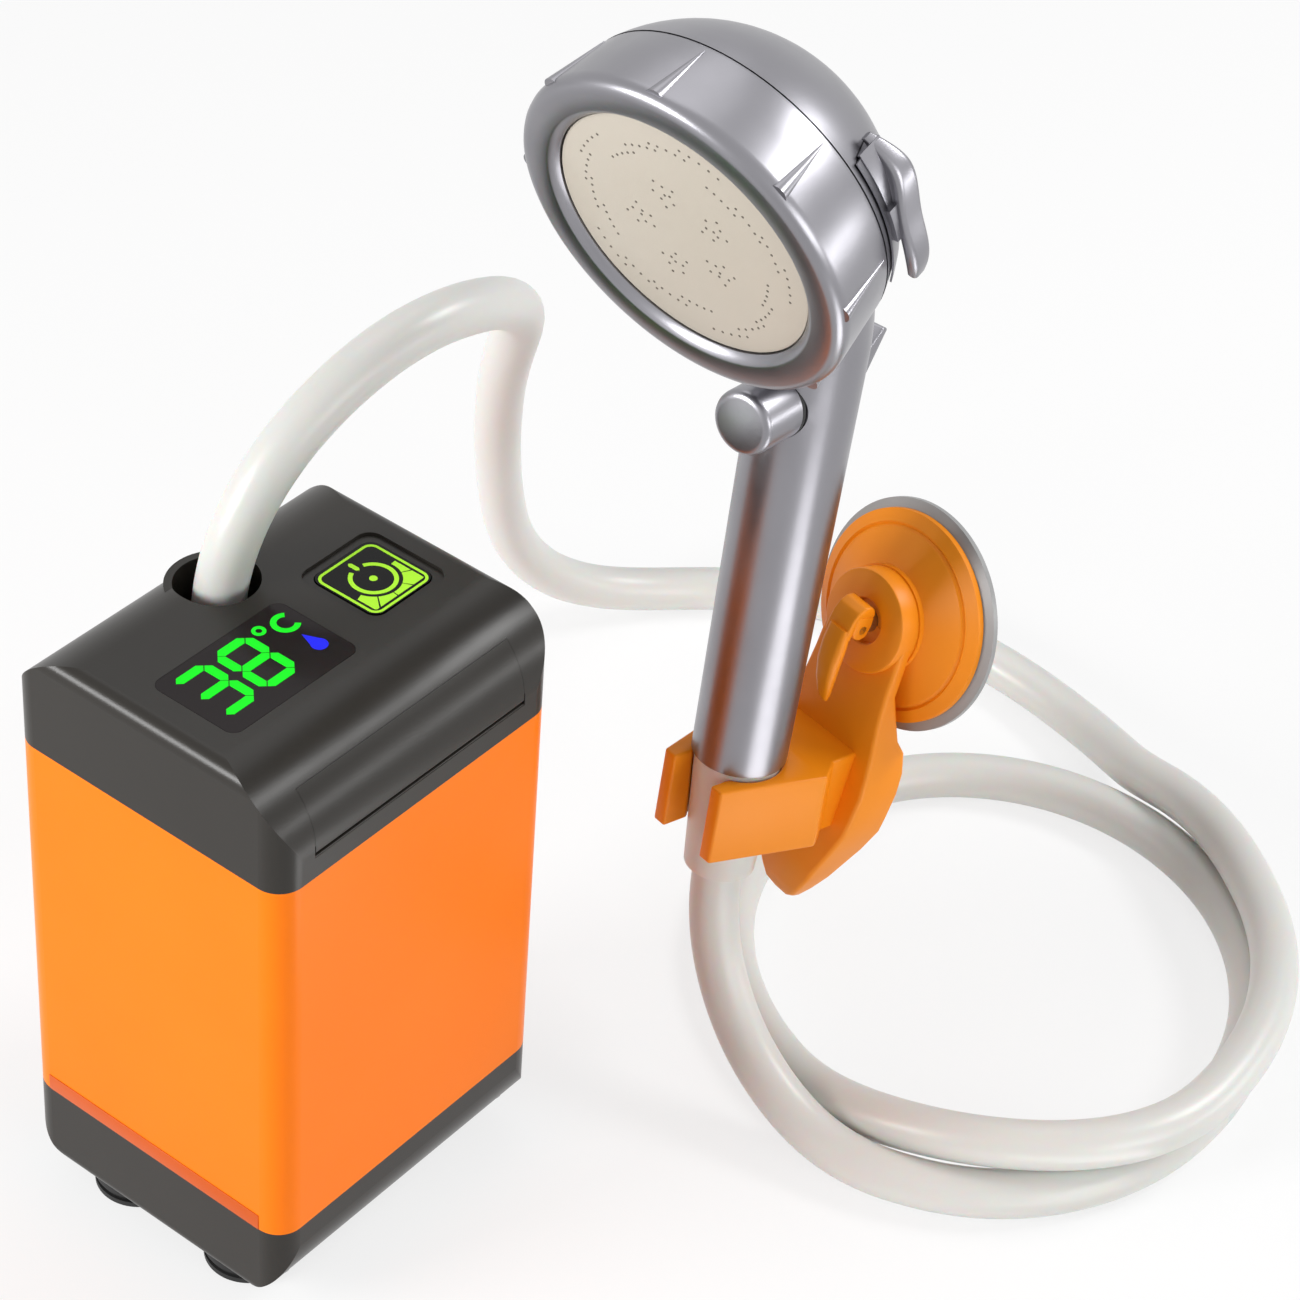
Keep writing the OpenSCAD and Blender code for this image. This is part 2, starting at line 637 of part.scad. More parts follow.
module display_board() color(GREEN) in_pump(cap_z + board_z) {
  x0 = lens_x - lens_w / 2 - 0.5;
  x1 = button_x + button_flange / 2 + 5.4;
  translate([x0, button_y - 14, 0]) cube([x1 - x0, 25, board_t]);
  translate([lens_x - 12, button_y - 10, board_t]) cube([24, 16, 2]);
}

module button_switch() color(BLACK) in_pump(cap_z + board_z + board_t) translate([button_x, button_y, 0]) {
  translate([-3, -3, 0]) cube([6, 6, 0.6]);
  cylinder(r = 1.6, h = switch_top - board_z - board_t);
}

module button_gasket() color(BLACK) in_pump(cap_z + board_z + board_t) translate([button_x, button_y, 0])
  frame_slab(button_flange + 2.8, button_flange + 2.8, 4, board_gap, 1);

module power_button() color(BLACK) in_pump(cap_z) translate([button_x, button_y, 0]) {
  translate([0, 0, in_top - 1.2])
    slab(button_side, button_side, button_edge, wall + 1.2 + button_proud - bezel_t);
  translate([0, 0, in_top - 1.2]) slab(button_flange, button_flange, button_edge, 1.2 - move_gap);
  translate([0, 0, switch_top + button_travel + 0.15])
    cylinder(r = 2.2, h = in_top - 1 - switch_top - button_travel);
}

module charge_flap() color(GREY) in_pump(cap_z) difference() {
  union() {
    front_arc(cap_r, cap_r - flap_t, 180 - flap_turn, 180, flap_w);
    flap_rod(knuckle_r, flap_w);
  }
  flap_rod(flap_pin_r + run_gap, flap_w + 2);
}

module flap_pin() color(STEEL) in_pump(cap_z) flap_rod(flap_pin_r, flap_w + 6 - 2 * seat_gap);

module charge_port() color(STEEL) in_pump(cap_z)
  translate([0, port_front + port_l, port_z]) rotate([90, 0, 0]) difference() {
    slab(port_w, port_h, port_edge, port_l);
    translate([0, 0, 4]) frame_slab(port_w - 0.8, port_h - 0.8, port_edge - 0.2, port_l, 0.7);
  }

module charge_board() color(GREEN) in_pump(cap_z)
  translate([-8, port_front + port_l - 5, port_z - port_h / 2 - 1.2]) cube([16, 12, 1.2]);

// Hose
module hose_arch() color(WHITE) tube(arch_route, [0, 0, 1], loop_in_dir);

module hose_loop() color(WHITE) tube(loop_route, loop_in_dir, loop_out_dir);

module hose_rise() color(WHITE) tube(rise_route, loop_out_dir, handle_axis);

// Hand shower
module in_shower() translate(shower_at) rotate([0, shower_lean, 0]) children();

module in_head() in_shower() translate([-face_fwd, 0, face_up]) rotate([0, 90 - face_tilt, 0]) children();

module hose_nut() color(WHITE) in_shower() difference() {
  union() {
    translate([0, 0, -nut_l]) cylinder(r1 = nut_end_r, r2 = nut_r, h = nut_l);
    cylinder(r = inlet_r - seat_gap, h = thread_l);
  }
  translate([0, 0, -nut_l - 1]) cylinder(r = nut_bore, h = nut_l + thread_l + 2);
}

module hose_washer() color(BLACK) in_shower() translate([0, 0, thread_l])
  ring(inlet_r - seat_gap, nut_bore, washer_t);

module inlet_screen() color(STEEL) in_shower() translate([0, 0, thread_l + washer_t]) difference() {
  cylinder(r = inlet_r - seat_gap, h = inlet_l - thread_l - washer_t);
  for (i = [0 : 5])
    rotate(60 * i) translate([3.6, 0, -1]) cylinder(r = 1.2, h = 5);
}

module neck(r) translate([-neck_bend, 0, handle_l]) rotate([90, 0, 0]) rotate_extrude(angle = neck_turn)
  translate([neck_bend, 0]) circle(r);

module dome(inset) rotate_extrude() intersection() {
  translate([0, dome_mid]) circle(dome_ball - inset);
  translate([0, ring_l - inset]) square([dome_r - inset, dome_l + 1]);
}

module side_slot(r_in, r_out, half, z, h) rotate(lever_angle - half) translate([0, 0, z])
  rotate_extrude(angle = 2 * half) translate([r_in, 0]) square([r_out - r_in, h]);

module handset_body() color(SILVER) difference() {
  union() {
    in_shower() cylinder(r1 = handle_d / 2, r2 = neck_d / 2, h = handle_l);
    in_shower() neck(neck_d / 2);
    in_head() dome(0);
  }
  in_head() dome(shell_t);
  in_shower() translate([0, 0, -1]) cylinder(r = inlet_r, h = inlet_l + 1);
  in_shower() cylinder(r = handle_bore, h = handle_l);
  in_shower() neck(handle_bore);
  in_shower() translate([stop_end + stop_travel / 2 - 30, 0, stop_up]) rotate([0, 90, 0])
    cylinder(r = stop_r + run_gap, h = 30);
  in_shower() translate([0, 0, stop_up]) rotate([0, 90, 0]) cylinder(r = stop_stem_r + run_gap, h = 30);
  in_head() side_slot(stem_in - 2, dome_r + 2, selector_half + stem_half + 1, arm_at - move_gap,
    arm_t + 2 * move_gap);
  in_head() translate([0, 0, ring_l - 10]) cylinder(r = dome_r + 2, h = 10);
}

module face_ring() color(SILVER) in_head() {
  rotate_extrude() polygon([[ring_lip + 1.2, -rim_out], [ring_lip, 0.2], [ring_lip, plate_at],
    [ring_in, plate_at], [ring_in, ring_l], [dome_r, ring_l], [ring_r, 3], [ring_r - 0.5, 0.8],
    [ring_r - 2.2, -rim_out]]);
  for (i = [0 : grip_ribs - 1])
    rotate(360 / grip_ribs * i) rotate([90, 0, 0]) linear_extrude(3, center = true)
      polygon([[dome_r - 1, 3], [ring_r + 0.8, 2], [ring_r + 0.8, 4], [dome_r, ring_l - 2],
        [dome_r - 1, ring_l - 2]]);
}

module spray_plate() color(BEIGE) in_head() translate([0, 0, plate_at]) difference() {
  cylinder(r = plate_r, h = spray_t);
  for (row = spray_rows, i = [0 : row[1] - 1])
    rotate(360 / row[1] * i) translate([row[0], 0, -1]) cylinder(r = 0.6, h = 4, $fn = 8);
}

module face_gasket() color(BLACK) in_head() translate([0, 0, plate_at + spray_t])
  ring(plate_r, plate_r - 3, distributor_at - plate_at - spray_t);

module distributor() color(WHITE) in_head() translate([0, 0, distributor_at]) difference() {
  cylinder(r = plate_r, h = distributor_t);
  for (i = [0 : 8])
    rotate(40 * i) translate([18, 0, -1]) cylinder(r = 2.5, h = 6);
}

module selector_disc() color(WHITE) in_head() translate([0, 0, selector_at]) difference() {
  cylinder(r = selector_r, h = selector_t);
  for (i = [0 : 2])
    rotate(120 * i) translate([18, 0, -1]) cylinder(r = 2.5, h = 6);
}

// Thin slice of the thumb paddle at one angle: inner and outer radius, start and end behind the ring
module paddle_cut(cut) rotate(lever_angle + cut[0]) translate([cut[1], -0.25, ring_l + cut[3]])
  cube([cut[2] - cut[1], 0.5, cut[4] - cut[3]]);

module selector_lever() color(SILVER) in_head() {
  side_slot(stem_in, stem_out, stem_half, selector_at + selector_t,
    arm_at + arm_t - selector_at - selector_t);
  side_slot(stem_in, arm_out, stem_half, arm_at, arm_t);
  for (i = [1 : len(paddle_cuts) - 1])
    hull() {
      paddle_cut(paddle_cuts[i - 1]);
      paddle_cut(paddle_cuts[i]);
    }
}

module stop_button() color(SILVER) in_shower() translate([0, 0, stop_up]) difference() {
  union() {
    rotate([90, 0, 0]) linear_extrude(blade_w, center = true)
      polygon([[stop_tail - 1, -3], [stop_tail + 4, -3], [stop_tail + 11, 9], [stop_tail + 9, 10],
        [stop_tail - 1, 2]]);
    rotate([0, 90, 0]) translate([0, 0, -stop_front]) cylinder(r = stop_r, h = stop_front - stop_end);
    rotate([0, 90, 0]) translate([0, 0, -stop_end - 1])
      cylinder(r = stop_stem_r, h = stop_end + stop_tail + 1);
  }
  for (x = seal_at)
    translate([x - seal_wire - seat_gap, 0, 0]) rotate([0, 90, 0])
      ring(stop_r + 1, stop_r - 2 * seal_wire - seat_gap, 2 * (seal_wire + seat_gap));
}

module stop_seals() color(BLACK) in_shower() translate([0, 0, stop_up]) for (x = seal_at)
  translate([x, 0, 0]) rotate([0, 90, 0]) rotate_extrude()
    translate([stop_r - seal_wire, 0]) circle(seal_wire, $fn = 24);

// Holder
module in_cup() translate(cup_at) rotate([0, 0, cup_yaw]) rotate([0, cup_lean, 0]) children();

module forward(u) rotate([0, -90, 0]) translate([0, 0, u]) children();

module in_clip() in_shower() rotate([0, 0, cup_yaw]) children();

module tongue() intersection() {
  rotate([90, 0, 0]) linear_extrude(tongue_w, center = true)
    polygon([[-boss_front + 2, 0], [-boss_front + 2, 14.5 - tongue_l], [-12.5, 2.5 - tongue_l],
      [-9.5, -tongue_l], [-6, 8.5 - tongue_l], [-1.5, 24.5 - tongue_l], [-0.8, 33 - tongue_l], [-0.8, -38],
      [-2.4, -32], [-5.4, -28.6], [-7.4, -23.5], [-boss_u, -15.3], [-boss_u, 0]]);
  rotate([90, 0, 90]) linear_extrude(60, center = true) for (s = [-1, 1])
    polygon([[0, 0], [s * tongue_neck, 0], [s * (tongue_neck + 0.4), -15], [s * tongue_w / 2, -44],
      [s * (tongue_w / 2 - 1), 28.5 - tongue_l], [s * 10, 10.5 - tongue_l], [s * 5.5, 2.5 - tongue_l],
      [0, -tongue_l]]);
}

module holder_arm() color(ORANGE) difference() {
  union() {
    in_cup() forward(boss_u) cylinder(r = boss_d / 2, h = boss_t);
    in_cup() tongue();
    in_clip() translate([0, 0, clip_top - clip_h]) linear_extrude(clip_h) for (s = [-1, 1])
      polygon([[-clip_reach, 0], [-clip_reach, s * (clip_side - clip_flare * clip_reach)],
        [clip_back, s * (clip_side + clip_flare * clip_back)], [clip_back + 6, s * bridge_half],
        [bridge_l, s * bridge_half], [bridge_l, 0]]);
  }
  in_shower() translate([0, 0, -nut_l]) cylinder(r1 = nut_end_r + move_gap, r2 = nut_r + move_gap, h = nut_l);
  in_clip() translate([-clip_reach - 1, -slot_w / 2, clip_top - clip_h - 1])
    cube([clip_reach + 1, slot_w, clip_h + 2]);
  in_cup() forward(boss_u - 1) cylinder(r = stem_d / 2 + run_gap, h = boss_t + 2);
}

module cup_cover() color(ORANGE) in_cup() forward(0) rotate_extrude() polygon([[11.3, 8.75], [12.2, 8.1],
  [cover_d / 2, 2.5], [cover_d / 2, 4.2], [24.3, 5.6], [23.6, 5.2], [22.9, 5.9], [boss_d / 2 + 0.5, 9.6],
  [boss_d / 2 + 0.5, boss_u], [11.3, boss_u]]);

module suction_cup() color(SOFT_GREY) in_cup() forward(0) rotate_extrude() polygon([[0, 3.2], [10, 2.8],
  [cup_d / 2 - 2, 0], [cup_d / 2, 0], [cup_d / 2, 1.4], [27.6, 2.2], [12, 7.9], [11, 8.6], [11, 10.6],
  [stem_d / 2 + 0.4, 10.6], [stem_d / 2 + 0.4, 8.9], [head_r + 0.4, 8.9], [head_r + 0.4, 4.4], [0, 4.4]]);

module cup_stem() color(STEEL) in_cup() difference() {
  union() {
    forward(head_u) cylinder(r = head_r, h = head_t);
    forward(head_u) cylinder(r = stem_d / 2, h = boss_front + eye_clear + 0.2 - head_u);
    translate([-pin_u, -eye_t / 2, -eye_r]) cube([pin_u - boss_front - eye_clear, eye_t, 2 * eye_r]);
    translate([-pin_u, eye_t / 2, 0]) rotate([90, 0, 0]) cylinder(r = eye_r, h = eye_t);
  }
  translate([-pin_u, eye_t, 0]) rotate([90, 0, 0]) cylinder(r = pin_r, h = 2 * eye_t);
}

module lever_pin() color(STEEL) in_cup() translate([-pin_u, lever_w / 2, 0]) rotate([90, 0, 0])
  cylinder(r = pin_r, h = lever_w);

module cam_lever() color(ORANGE) in_cup() translate([-pin_u, 0, 0]) difference() {
  intersection() {
    rotate([90, 0, 0]) linear_extrude(lever_w, center = true) {
      circle(cam_r);
      polygon([[-1, cam_r - 0.2], [-4, 1.5], [-6, -8], [-5.8, -17], [-3.6, -24], [-1.6, -24], [-2.4, -16],
        [-1, -6], [0, -cam_r + 0.2]]);
    }
    rotate([90, 0, 90]) linear_extrude(30, center = true)
      polygon([[-lever_w / 2, 5], [lever_w / 2, 5], [lever_w / 2, -3], [finger_w - lever_w / 2, -9],
        [finger_w - lever_w / 2, -30], [-lever_w / 2, -30]]);
  }
  translate([-eye_r - 1, -eye_t / 2 - move_gap, -eye_r - 3]) cube([12, eye_t + 2 * move_gap, 20]);
  rotate([90, 0, 0]) cylinder(r = pin_r + run_gap, h = 2 * lever_w, center = true);
}

body_sleeve();
top_cover();
base_cap();
feet();
cover_gasket();
case_screws();
bulkhead();
bulkhead_gasket();
display_lens();
display_board();
button_switch();
button_gasket();
power_button();
charge_flap();
flap_pin();
charge_port();
charge_board();
control_board();
battery_cells();
battery_holder();
motor_can();
motor_shaft();
shaft_seal();
impeller();
pump_chamber();
chamber_cover();
intake_filter();
outlet_pipe();
outlet_fitting();
temperature_probe();
hose_arch();
hose_loop();
hose_rise();
hose_nut();
hose_washer();
inlet_screen();
handset_body();
face_ring();
spray_plate();
face_gasket();
distributor();
selector_disc();
selector_lever();
stop_button();
stop_seals();
holder_arm();
cup_cover();
suction_cup();
cup_stem();
lever_pin();
cam_lever();
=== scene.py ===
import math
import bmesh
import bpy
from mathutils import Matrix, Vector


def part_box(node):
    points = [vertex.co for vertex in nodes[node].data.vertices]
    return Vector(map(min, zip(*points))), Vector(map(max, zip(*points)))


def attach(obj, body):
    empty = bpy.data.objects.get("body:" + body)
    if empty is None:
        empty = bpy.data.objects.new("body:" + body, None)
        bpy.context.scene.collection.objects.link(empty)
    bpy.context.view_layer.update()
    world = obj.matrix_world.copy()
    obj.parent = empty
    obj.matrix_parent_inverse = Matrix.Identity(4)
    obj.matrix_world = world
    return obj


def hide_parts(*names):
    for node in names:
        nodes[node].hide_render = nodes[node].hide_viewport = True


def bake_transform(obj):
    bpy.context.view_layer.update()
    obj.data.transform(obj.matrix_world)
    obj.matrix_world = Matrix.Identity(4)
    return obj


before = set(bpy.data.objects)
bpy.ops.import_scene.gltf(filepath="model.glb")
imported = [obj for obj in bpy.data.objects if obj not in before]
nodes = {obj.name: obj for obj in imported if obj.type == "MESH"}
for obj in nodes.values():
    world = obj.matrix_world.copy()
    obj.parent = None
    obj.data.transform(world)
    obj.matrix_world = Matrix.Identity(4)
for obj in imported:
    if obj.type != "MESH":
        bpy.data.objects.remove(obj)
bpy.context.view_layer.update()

# %% [markdown]
# # A camp shower set: pump, hose, hand shower and holder
# The solids of this set are already loaded, one Blender object for each piece, in metres and in
# their places. This lesson gives them a camera, a hose that is really round, finer shapes where the
# solid is plain, and the finishes of the real things: glossy and satin plastic, metallic paint,

scene = bpy.context.scene

# %% [markdown]
# ## Camera
# The set was pictured from high up on the pump's left, through a long lens. A camera matrix can be
# written from three directions: what is right, what is up and what points back at the viewer. That
# is plainer than three angles, because the picture is also rolled a little.

# %% Camera
LENS = 108.17
SENSOR_W = 36
CAMERA_AT = (-0.57456, -0.44810, 0.74125)
view_right = Vector((0.62472, -0.77851, 0.06043))
view_up = Vector((0.46355, 0.43204, 0.77360))
view_back = Vector((-0.62836, -0.45527, 0.63078))
camera_data = bpy.data.cameras.new("camera")
camera_data.sensor_fit = "HORIZONTAL"
camera_data.sensor_width = SENSOR_W
camera_data.lens = LENS
camera = bpy.data.objects.new("camera", camera_data)
turn = Matrix((view_right, view_up, view_back)).transposed().to_4x4()
camera.matrix_world = Matrix.Translation(CAMERA_AT) @ turn
scene.collection.objects.link(camera)
scene.camera = camera
print("camera lens:", LENS, "mm")

# %% [markdown]
# ## Where things are
# The pump stands upright, the hand shower leans a little in its clip, its head looks left and
# slightly down, and the suction cup stands on its edge behind. Each gets a matrix from its own
# millimetres to the scene's metres, so that every piece can be drawn in plain numbers where it is
# easy to think about.

# %% Local frames
MM = Matrix.Scale(0.001, 4)


def turned(degrees, axis):
    return Matrix.Rotation(math.radians(degrees), 4, axis)


def moved(x, y, z):
    return Matrix.Translation((x, y, z))


PUMP_AT = (-58, 30, 0)
SHOWER_SEAT = (45.7, -28.8, 103)
SHOWER_LEAN = 7
FACE_AT = (-63.5, 0, 166.5)
FACE_TILT = 64.5
CUP_AT = (95, -43.4, 126)
CUP_TURN = -13
CUP_LEAN = 17
pump_frame = MM @ moved(*PUMP_AT)
shower_frame = MM @ moved(*SHOWER_SEAT) @ turned(SHOWER_LEAN, "Y")
head_frame = shower_frame @ moved(*FACE_AT) @ turned(FACE_TILT, "Y")
cup_frame = MM @ moved(*CUP_AT) @ turned(CUP_TURN, "Z") @ turned(CUP_LEAN, "Y")
print("face centre:", [round(v, 4) for v in head_frame.translation])

# %% [markdown]
# ## The hose's route
# The hose is one soft tube, about 1.4 m long and 13 mm thick, seen from end to end. It climbs out
# of the pump's cover, arches down behind, lies on the floor in a loop with the first turn on top of
# the second, and climbs into the nut under the handle. The free stretches are cubic B-splines, which
# pass close by listed points. The loop is one formula: an oval, and an angle that says on
# which side of the second turn the first one lies. It starts outside, leans over the top and comes
# down inside.

# %% Loop on the floor
HOSE_D = 13
HOSE_FLOOR = HOSE_D / 2 + 0.1
TURN_STEP = HOSE_D + 0.6
LOOP_CENTRE = Vector((114, -70, HOSE_FLOOR))
LOOP_LONG = 78.5
LOOP_SHORT = 73.5
LOOP_TURN = math.radians(36)
LOOP_END = 518
END_OUT = 7.4
SPREAD = (80, 158)
OVER = (-44, 38)
DOWN = (100, 196)
CLOSE_IN = (196, 290)
FIRST_LEAN = 90
OVER_LEAN = 74
DOWN_LEAN = 106


def ease(start, end, t):
    x = min(1, max(0, (t - start) / (end - start)))
    return x * x * (3 - 2 * x)


def loop_radius(angle):
    across = LOOP_SHORT * math.cos(angle - LOOP_TURN)
    along = LOOP_LONG * math.sin(angle - LOOP_TURN)
    return LOOP_LONG * LOOP_SHORT / math.hypot(across, along)


def under_out(t):
    return END_OUT * ease(*SPREAD, t)


def over_lean(t):
    return math.radians(FIRST_LEAN - OVER_LEAN * ease(*OVER, t) - DOWN_LEAN * ease(*DOWN, t))


def loop_out(t):
    if t >= 360:
        return under_out(t - 360)
    out = under_out(t) + TURN_STEP * math.sin(over_lean(t))
    return out * (1 - ease(*CLOSE_IN, t))


def loop_up(t):
    return TURN_STEP * max(0, math.cos(over_lean(t))) if t < 360 else 0


def loop_at(t):
    angle = math.radians(-t)
    reach = loop_radius(angle) + loop_out(t)
    return LOOP_CENTRE + Vector((reach * math.cos(angle), reach * math.sin(angle), loop_up(t)))


print("top of the loop:", round(max(loop_at(t).z for t in range(LOOP_END)), 1), "mm")

# %% Hose route
LOOP_LEAD = 12
RISE_LEAD = 11
NUT_LENGTH = 35
TAIL_FROM = 452
LOOP_STEP = 2
SPLINE_STEPS = 8


def spline(points, steps):
    ends = [2 * points[0] - points[1]] + points + [2 * points[-1] - points[-2]]
    line = []
    for a, b, c, d in zip(ends, ends[1:], ends[2:], ends[3:]):
        for k in range(steps):
            t = k / steps
            near = a * (1 - t) ** 3 + b * (3 * t ** 3 - 6 * t * t + 4)
            line.append((near + c * (1 + 3 * t + 3 * t * t - 3 * t ** 3) + d * t ** 3) / 6)
    return line + [points[-1]]


arch_points = [Vector(p) for p in (
    (-57, 53, 150), (-57, 53, 174), (-46, 50, 198), (-26, 46, 214), (-1, 43, 221), (26, 42, 216),
    (52, 51, 197), (70, 72, 163), (90, 90, 127), (109, 105, 94), (124, 115, 65), (134, 119, 42),
    (147, 116, 23), (165, 108, 11), (185, 95, 7), (202, 78, HOSE_FLOOR), (214.5, 56, HOSE_FLOOR),
    (222, 31, HOSE_FLOOR), (224, 5, HOSE_FLOOR), (220.5, -21, HOSE_FLOOR), (212.5, -46, HOSE_FLOOR + 1.9))]
loop_in = (loop_at(1) - loop_at(0)).normalized()
arch_points += [loop_at(0) - LOOP_LEAD * loop_in, loop_at(0)]
loop_out_way = (loop_at(LOOP_END) - loop_at(LOOP_END - 1)).normalized()
lean = math.radians(SHOWER_LEAN)
handle_way = Vector((math.sin(lean), 0, math.cos(lean)))
nut_end = Vector(SHOWER_SEAT) - NUT_LENGTH * handle_way
rise_points = [loop_at(LOOP_END), loop_at(LOOP_END) + RISE_LEAD * loop_out_way]
rise_points += [Vector(p) for p in ((28.8, -73, 8), (32, -49, 20), (37, -33.5, 39.5))]
rise_points += [nut_end - RISE_LEAD * handle_way, nut_end]
loop_line = [loop_at(t) for t in range(LOOP_STEP, LOOP_END, LOOP_STEP)]
tail_from = TAIL_FROM // LOOP_STEP - 1
run_line = spline(arch_points, SPLINE_STEPS) + loop_line[:tail_from + 2]
tail_line = loop_line[tail_from:] + spline(rise_points, SPLINE_STEPS)


def line_length(line):
    return sum((b - a).length for a, b in zip(line, line[1:]))


print("hose run:", round(line_length(run_line)), "mm, tail:", round(line_length(tail_line)), "mm")

# %% [markdown]
# ## The hose itself
# A curve with a round bevel is the usual way to draw a tube. The last seventh of the hose has to
# stretch with the hand shower when that is lifted from its clip, and a bending piece has to be a
# mesh, so each curve is turned into its mesh. The two lengths overlap by one ring of faces.

# %% Hose
def drawn_mesh(name, curve):
    drawn = bpy.data.objects.new(name + "_line", curve)
    scene.collection.objects.link(drawn)
    shape = drawn.evaluated_get(bpy.context.evaluated_depsgraph_get())
    mesh = bpy.data.meshes.new_from_object(shape)
    mesh.name = name
    bpy.data.objects.remove(drawn)
    bpy.data.curves.remove(curve)
    return mesh


def hose_tube(name, line):
    curve = bpy.data.curves.new(name + "_line", "CURVE")
    curve.dimensions = "3D"
    curve.bevel_depth = HOSE_D / 2 * 0.001
    curve.bevel_resolution = 10
    curve.use_fill_caps = True
    path = curve.splines.new("POLY")
    path.points.add(len(line) - 1)
    for point, place in zip(path.points, line):
        point.co = (*(place * 0.001), 1)
    mesh = drawn_mesh(name, curve)
    mesh.shade_smooth()
    mesh.set_sharp_from_angle(angle=math.radians(50))
    tube = bpy.data.objects.new(name, mesh)
    scene.collection.objects.link(tube)
    return tube


hose_run = hose_tube("hose_run", run_line)
hose_tail = hose_tube("hose_tail", tail_line)
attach(hose_run, "pump")
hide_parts("hose_arch", "hose_loop")
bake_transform(hose_tail)
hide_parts("hose_rise")
print("hose faces:", len(hose_run.data.polygons) + len(hose_tail.data.polygons))

# %% [markdown]
# ## Finishes
# Real mouldings are never one even colour. Slow clouds shift the colour and the gloss a little, and
# a fine grain breaks up the highlights. Nearly every finish here wants both, so they are one node
# group, and each material places it with its own colours and scales. It reads object coordinates,
# in metres, so a scale of 1000 is a pattern of about a millimetre.

# %% Node group for moulded skins
def srgb(red, green, blue):
    shares = [value / 255 for value in (red, green, blue)]
    return tuple(v / 12.92 if v <= 0.04045 else ((v + 0.055) / 1.055) ** 2.4 for v in shares) + (1,)


skin = bpy.data.node_groups.new("moulded_skin", "ShaderNodeTree")
for title, kind in (("Colour", "NodeSocketColor"), ("Shade", "NodeSocketColor"),
                    ("Cloud Scale", "NodeSocketFloat"), ("Grain Scale", "NodeSocketFloat"),
                    ("Smooth", "NodeSocketFloat"), ("Rough", "NodeSocketFloat")):
    skin.interface.new_socket(title, in_out="INPUT", socket_type=kind)
for title, kind in (("Skin Colour", "NodeSocketColor"), ("Roughness", "NodeSocketFloat"),
                    ("Height", "NodeSocketFloat")):
    skin.interface.new_socket(title, in_out="OUTPUT", socket_type=kind)
given = skin.nodes.new("NodeGroupInput")
result = skin.nodes.new("NodeGroupOutput")
place = skin.nodes.new("ShaderNodeTexCoord")
cloud = skin.nodes.new("ShaderNodeTexNoise")
cloud.inputs["Detail"].default_value = 3
grain = skin.nodes.new("ShaderNodeTexNoise")
grain.inputs["Detail"].default_value = 2
blend = skin.nodes.new("ShaderNodeMix")
blend.data_type = "RGBA"
gloss = skin.nodes.new("ShaderNodeMapRange")
gloss.inputs["From Min"].default_value = 0.3
gloss.inputs["From Max"].default_value = 0.7
skin.links.new(place.outputs["Object"], cloud.inputs["Vector"])
skin.links.new(place.outputs["Object"], grain.inputs["Vector"])
skin.links.new(given.outputs["Cloud Scale"], cloud.inputs["Scale"])
skin.links.new(given.outputs["Grain Scale"], grain.inputs["Scale"])
skin.links.new(cloud.outputs["Fac"], blend.inputs["Factor"])
skin.links.new(given.outputs["Colour"], blend.inputs["A"])
skin.links.new(given.outputs["Shade"], blend.inputs["B"])
skin.links.new(cloud.outputs["Fac"], gloss.inputs["Value"])
skin.links.new(given.outputs["Smooth"], gloss.inputs["To Min"])
skin.links.new(given.outputs["Rough"], gloss.inputs["To Max"])
skin.links.new(blend.outputs["Result"], result.inputs["Skin Colour"])
skin.links.new(gloss.outputs["Result"], result.inputs["Roughness"])
skin.links.new(grain.outputs["Fac"], result.inputs["Height"])
print("group:", skin.name, "with", len(skin.nodes), "nodes")

# %% [markdown]
# ## Materials
# One function builds every material from the group: the two colours go in, the clouded colour and
# roughness come out into a Principled shader, and the grain goes through a Bump node whose distance
# is the real depth of the grain. What is the same all over, such as metal or a clear coat, is set
# on the shader itself.

# %% Pump finishes
def finish(name, colour, shade, smooth, rough, cloud_scale=25, grain_scale=1500, depth=0.00002,
           **sockets):
    material = bpy.data.materials.new(name)
    material.use_nodes = True
    tree = material.node_tree
    shader = tree.nodes["Principled BSDF"]
    pattern = tree.nodes.new("ShaderNodeGroup")
    pattern.node_tree = skin
    pattern.inputs["Colour"].default_value = colour
    pattern.inputs["Shade"].default_value = shade
    pattern.inputs["Cloud Scale"].default_value = cloud_scale
    pattern.inputs["Grain Scale"].default_value = grain_scale
    pattern.inputs["Smooth"].default_value = smooth
    pattern.inputs["Rough"].default_value = rough
    bump = tree.nodes.new("ShaderNodeBump")
    bump.inputs["Strength"].default_value = 0.6
    bump.inputs["Distance"].default_value = depth
    tree.links.new(pattern.outputs["Skin Colour"], shader.inputs["Base Color"])
    tree.links.new(pattern.outputs["Roughness"], shader.inputs["Roughness"])
    tree.links.new(pattern.outputs["Height"], bump.inputs["Height"])
    tree.links.new(bump.outputs["Normal"], shader.inputs["Normal"])
    for socket, value in sockets.items():
        shader.inputs[socket.replace("_", " ")].default_value = value
    return material


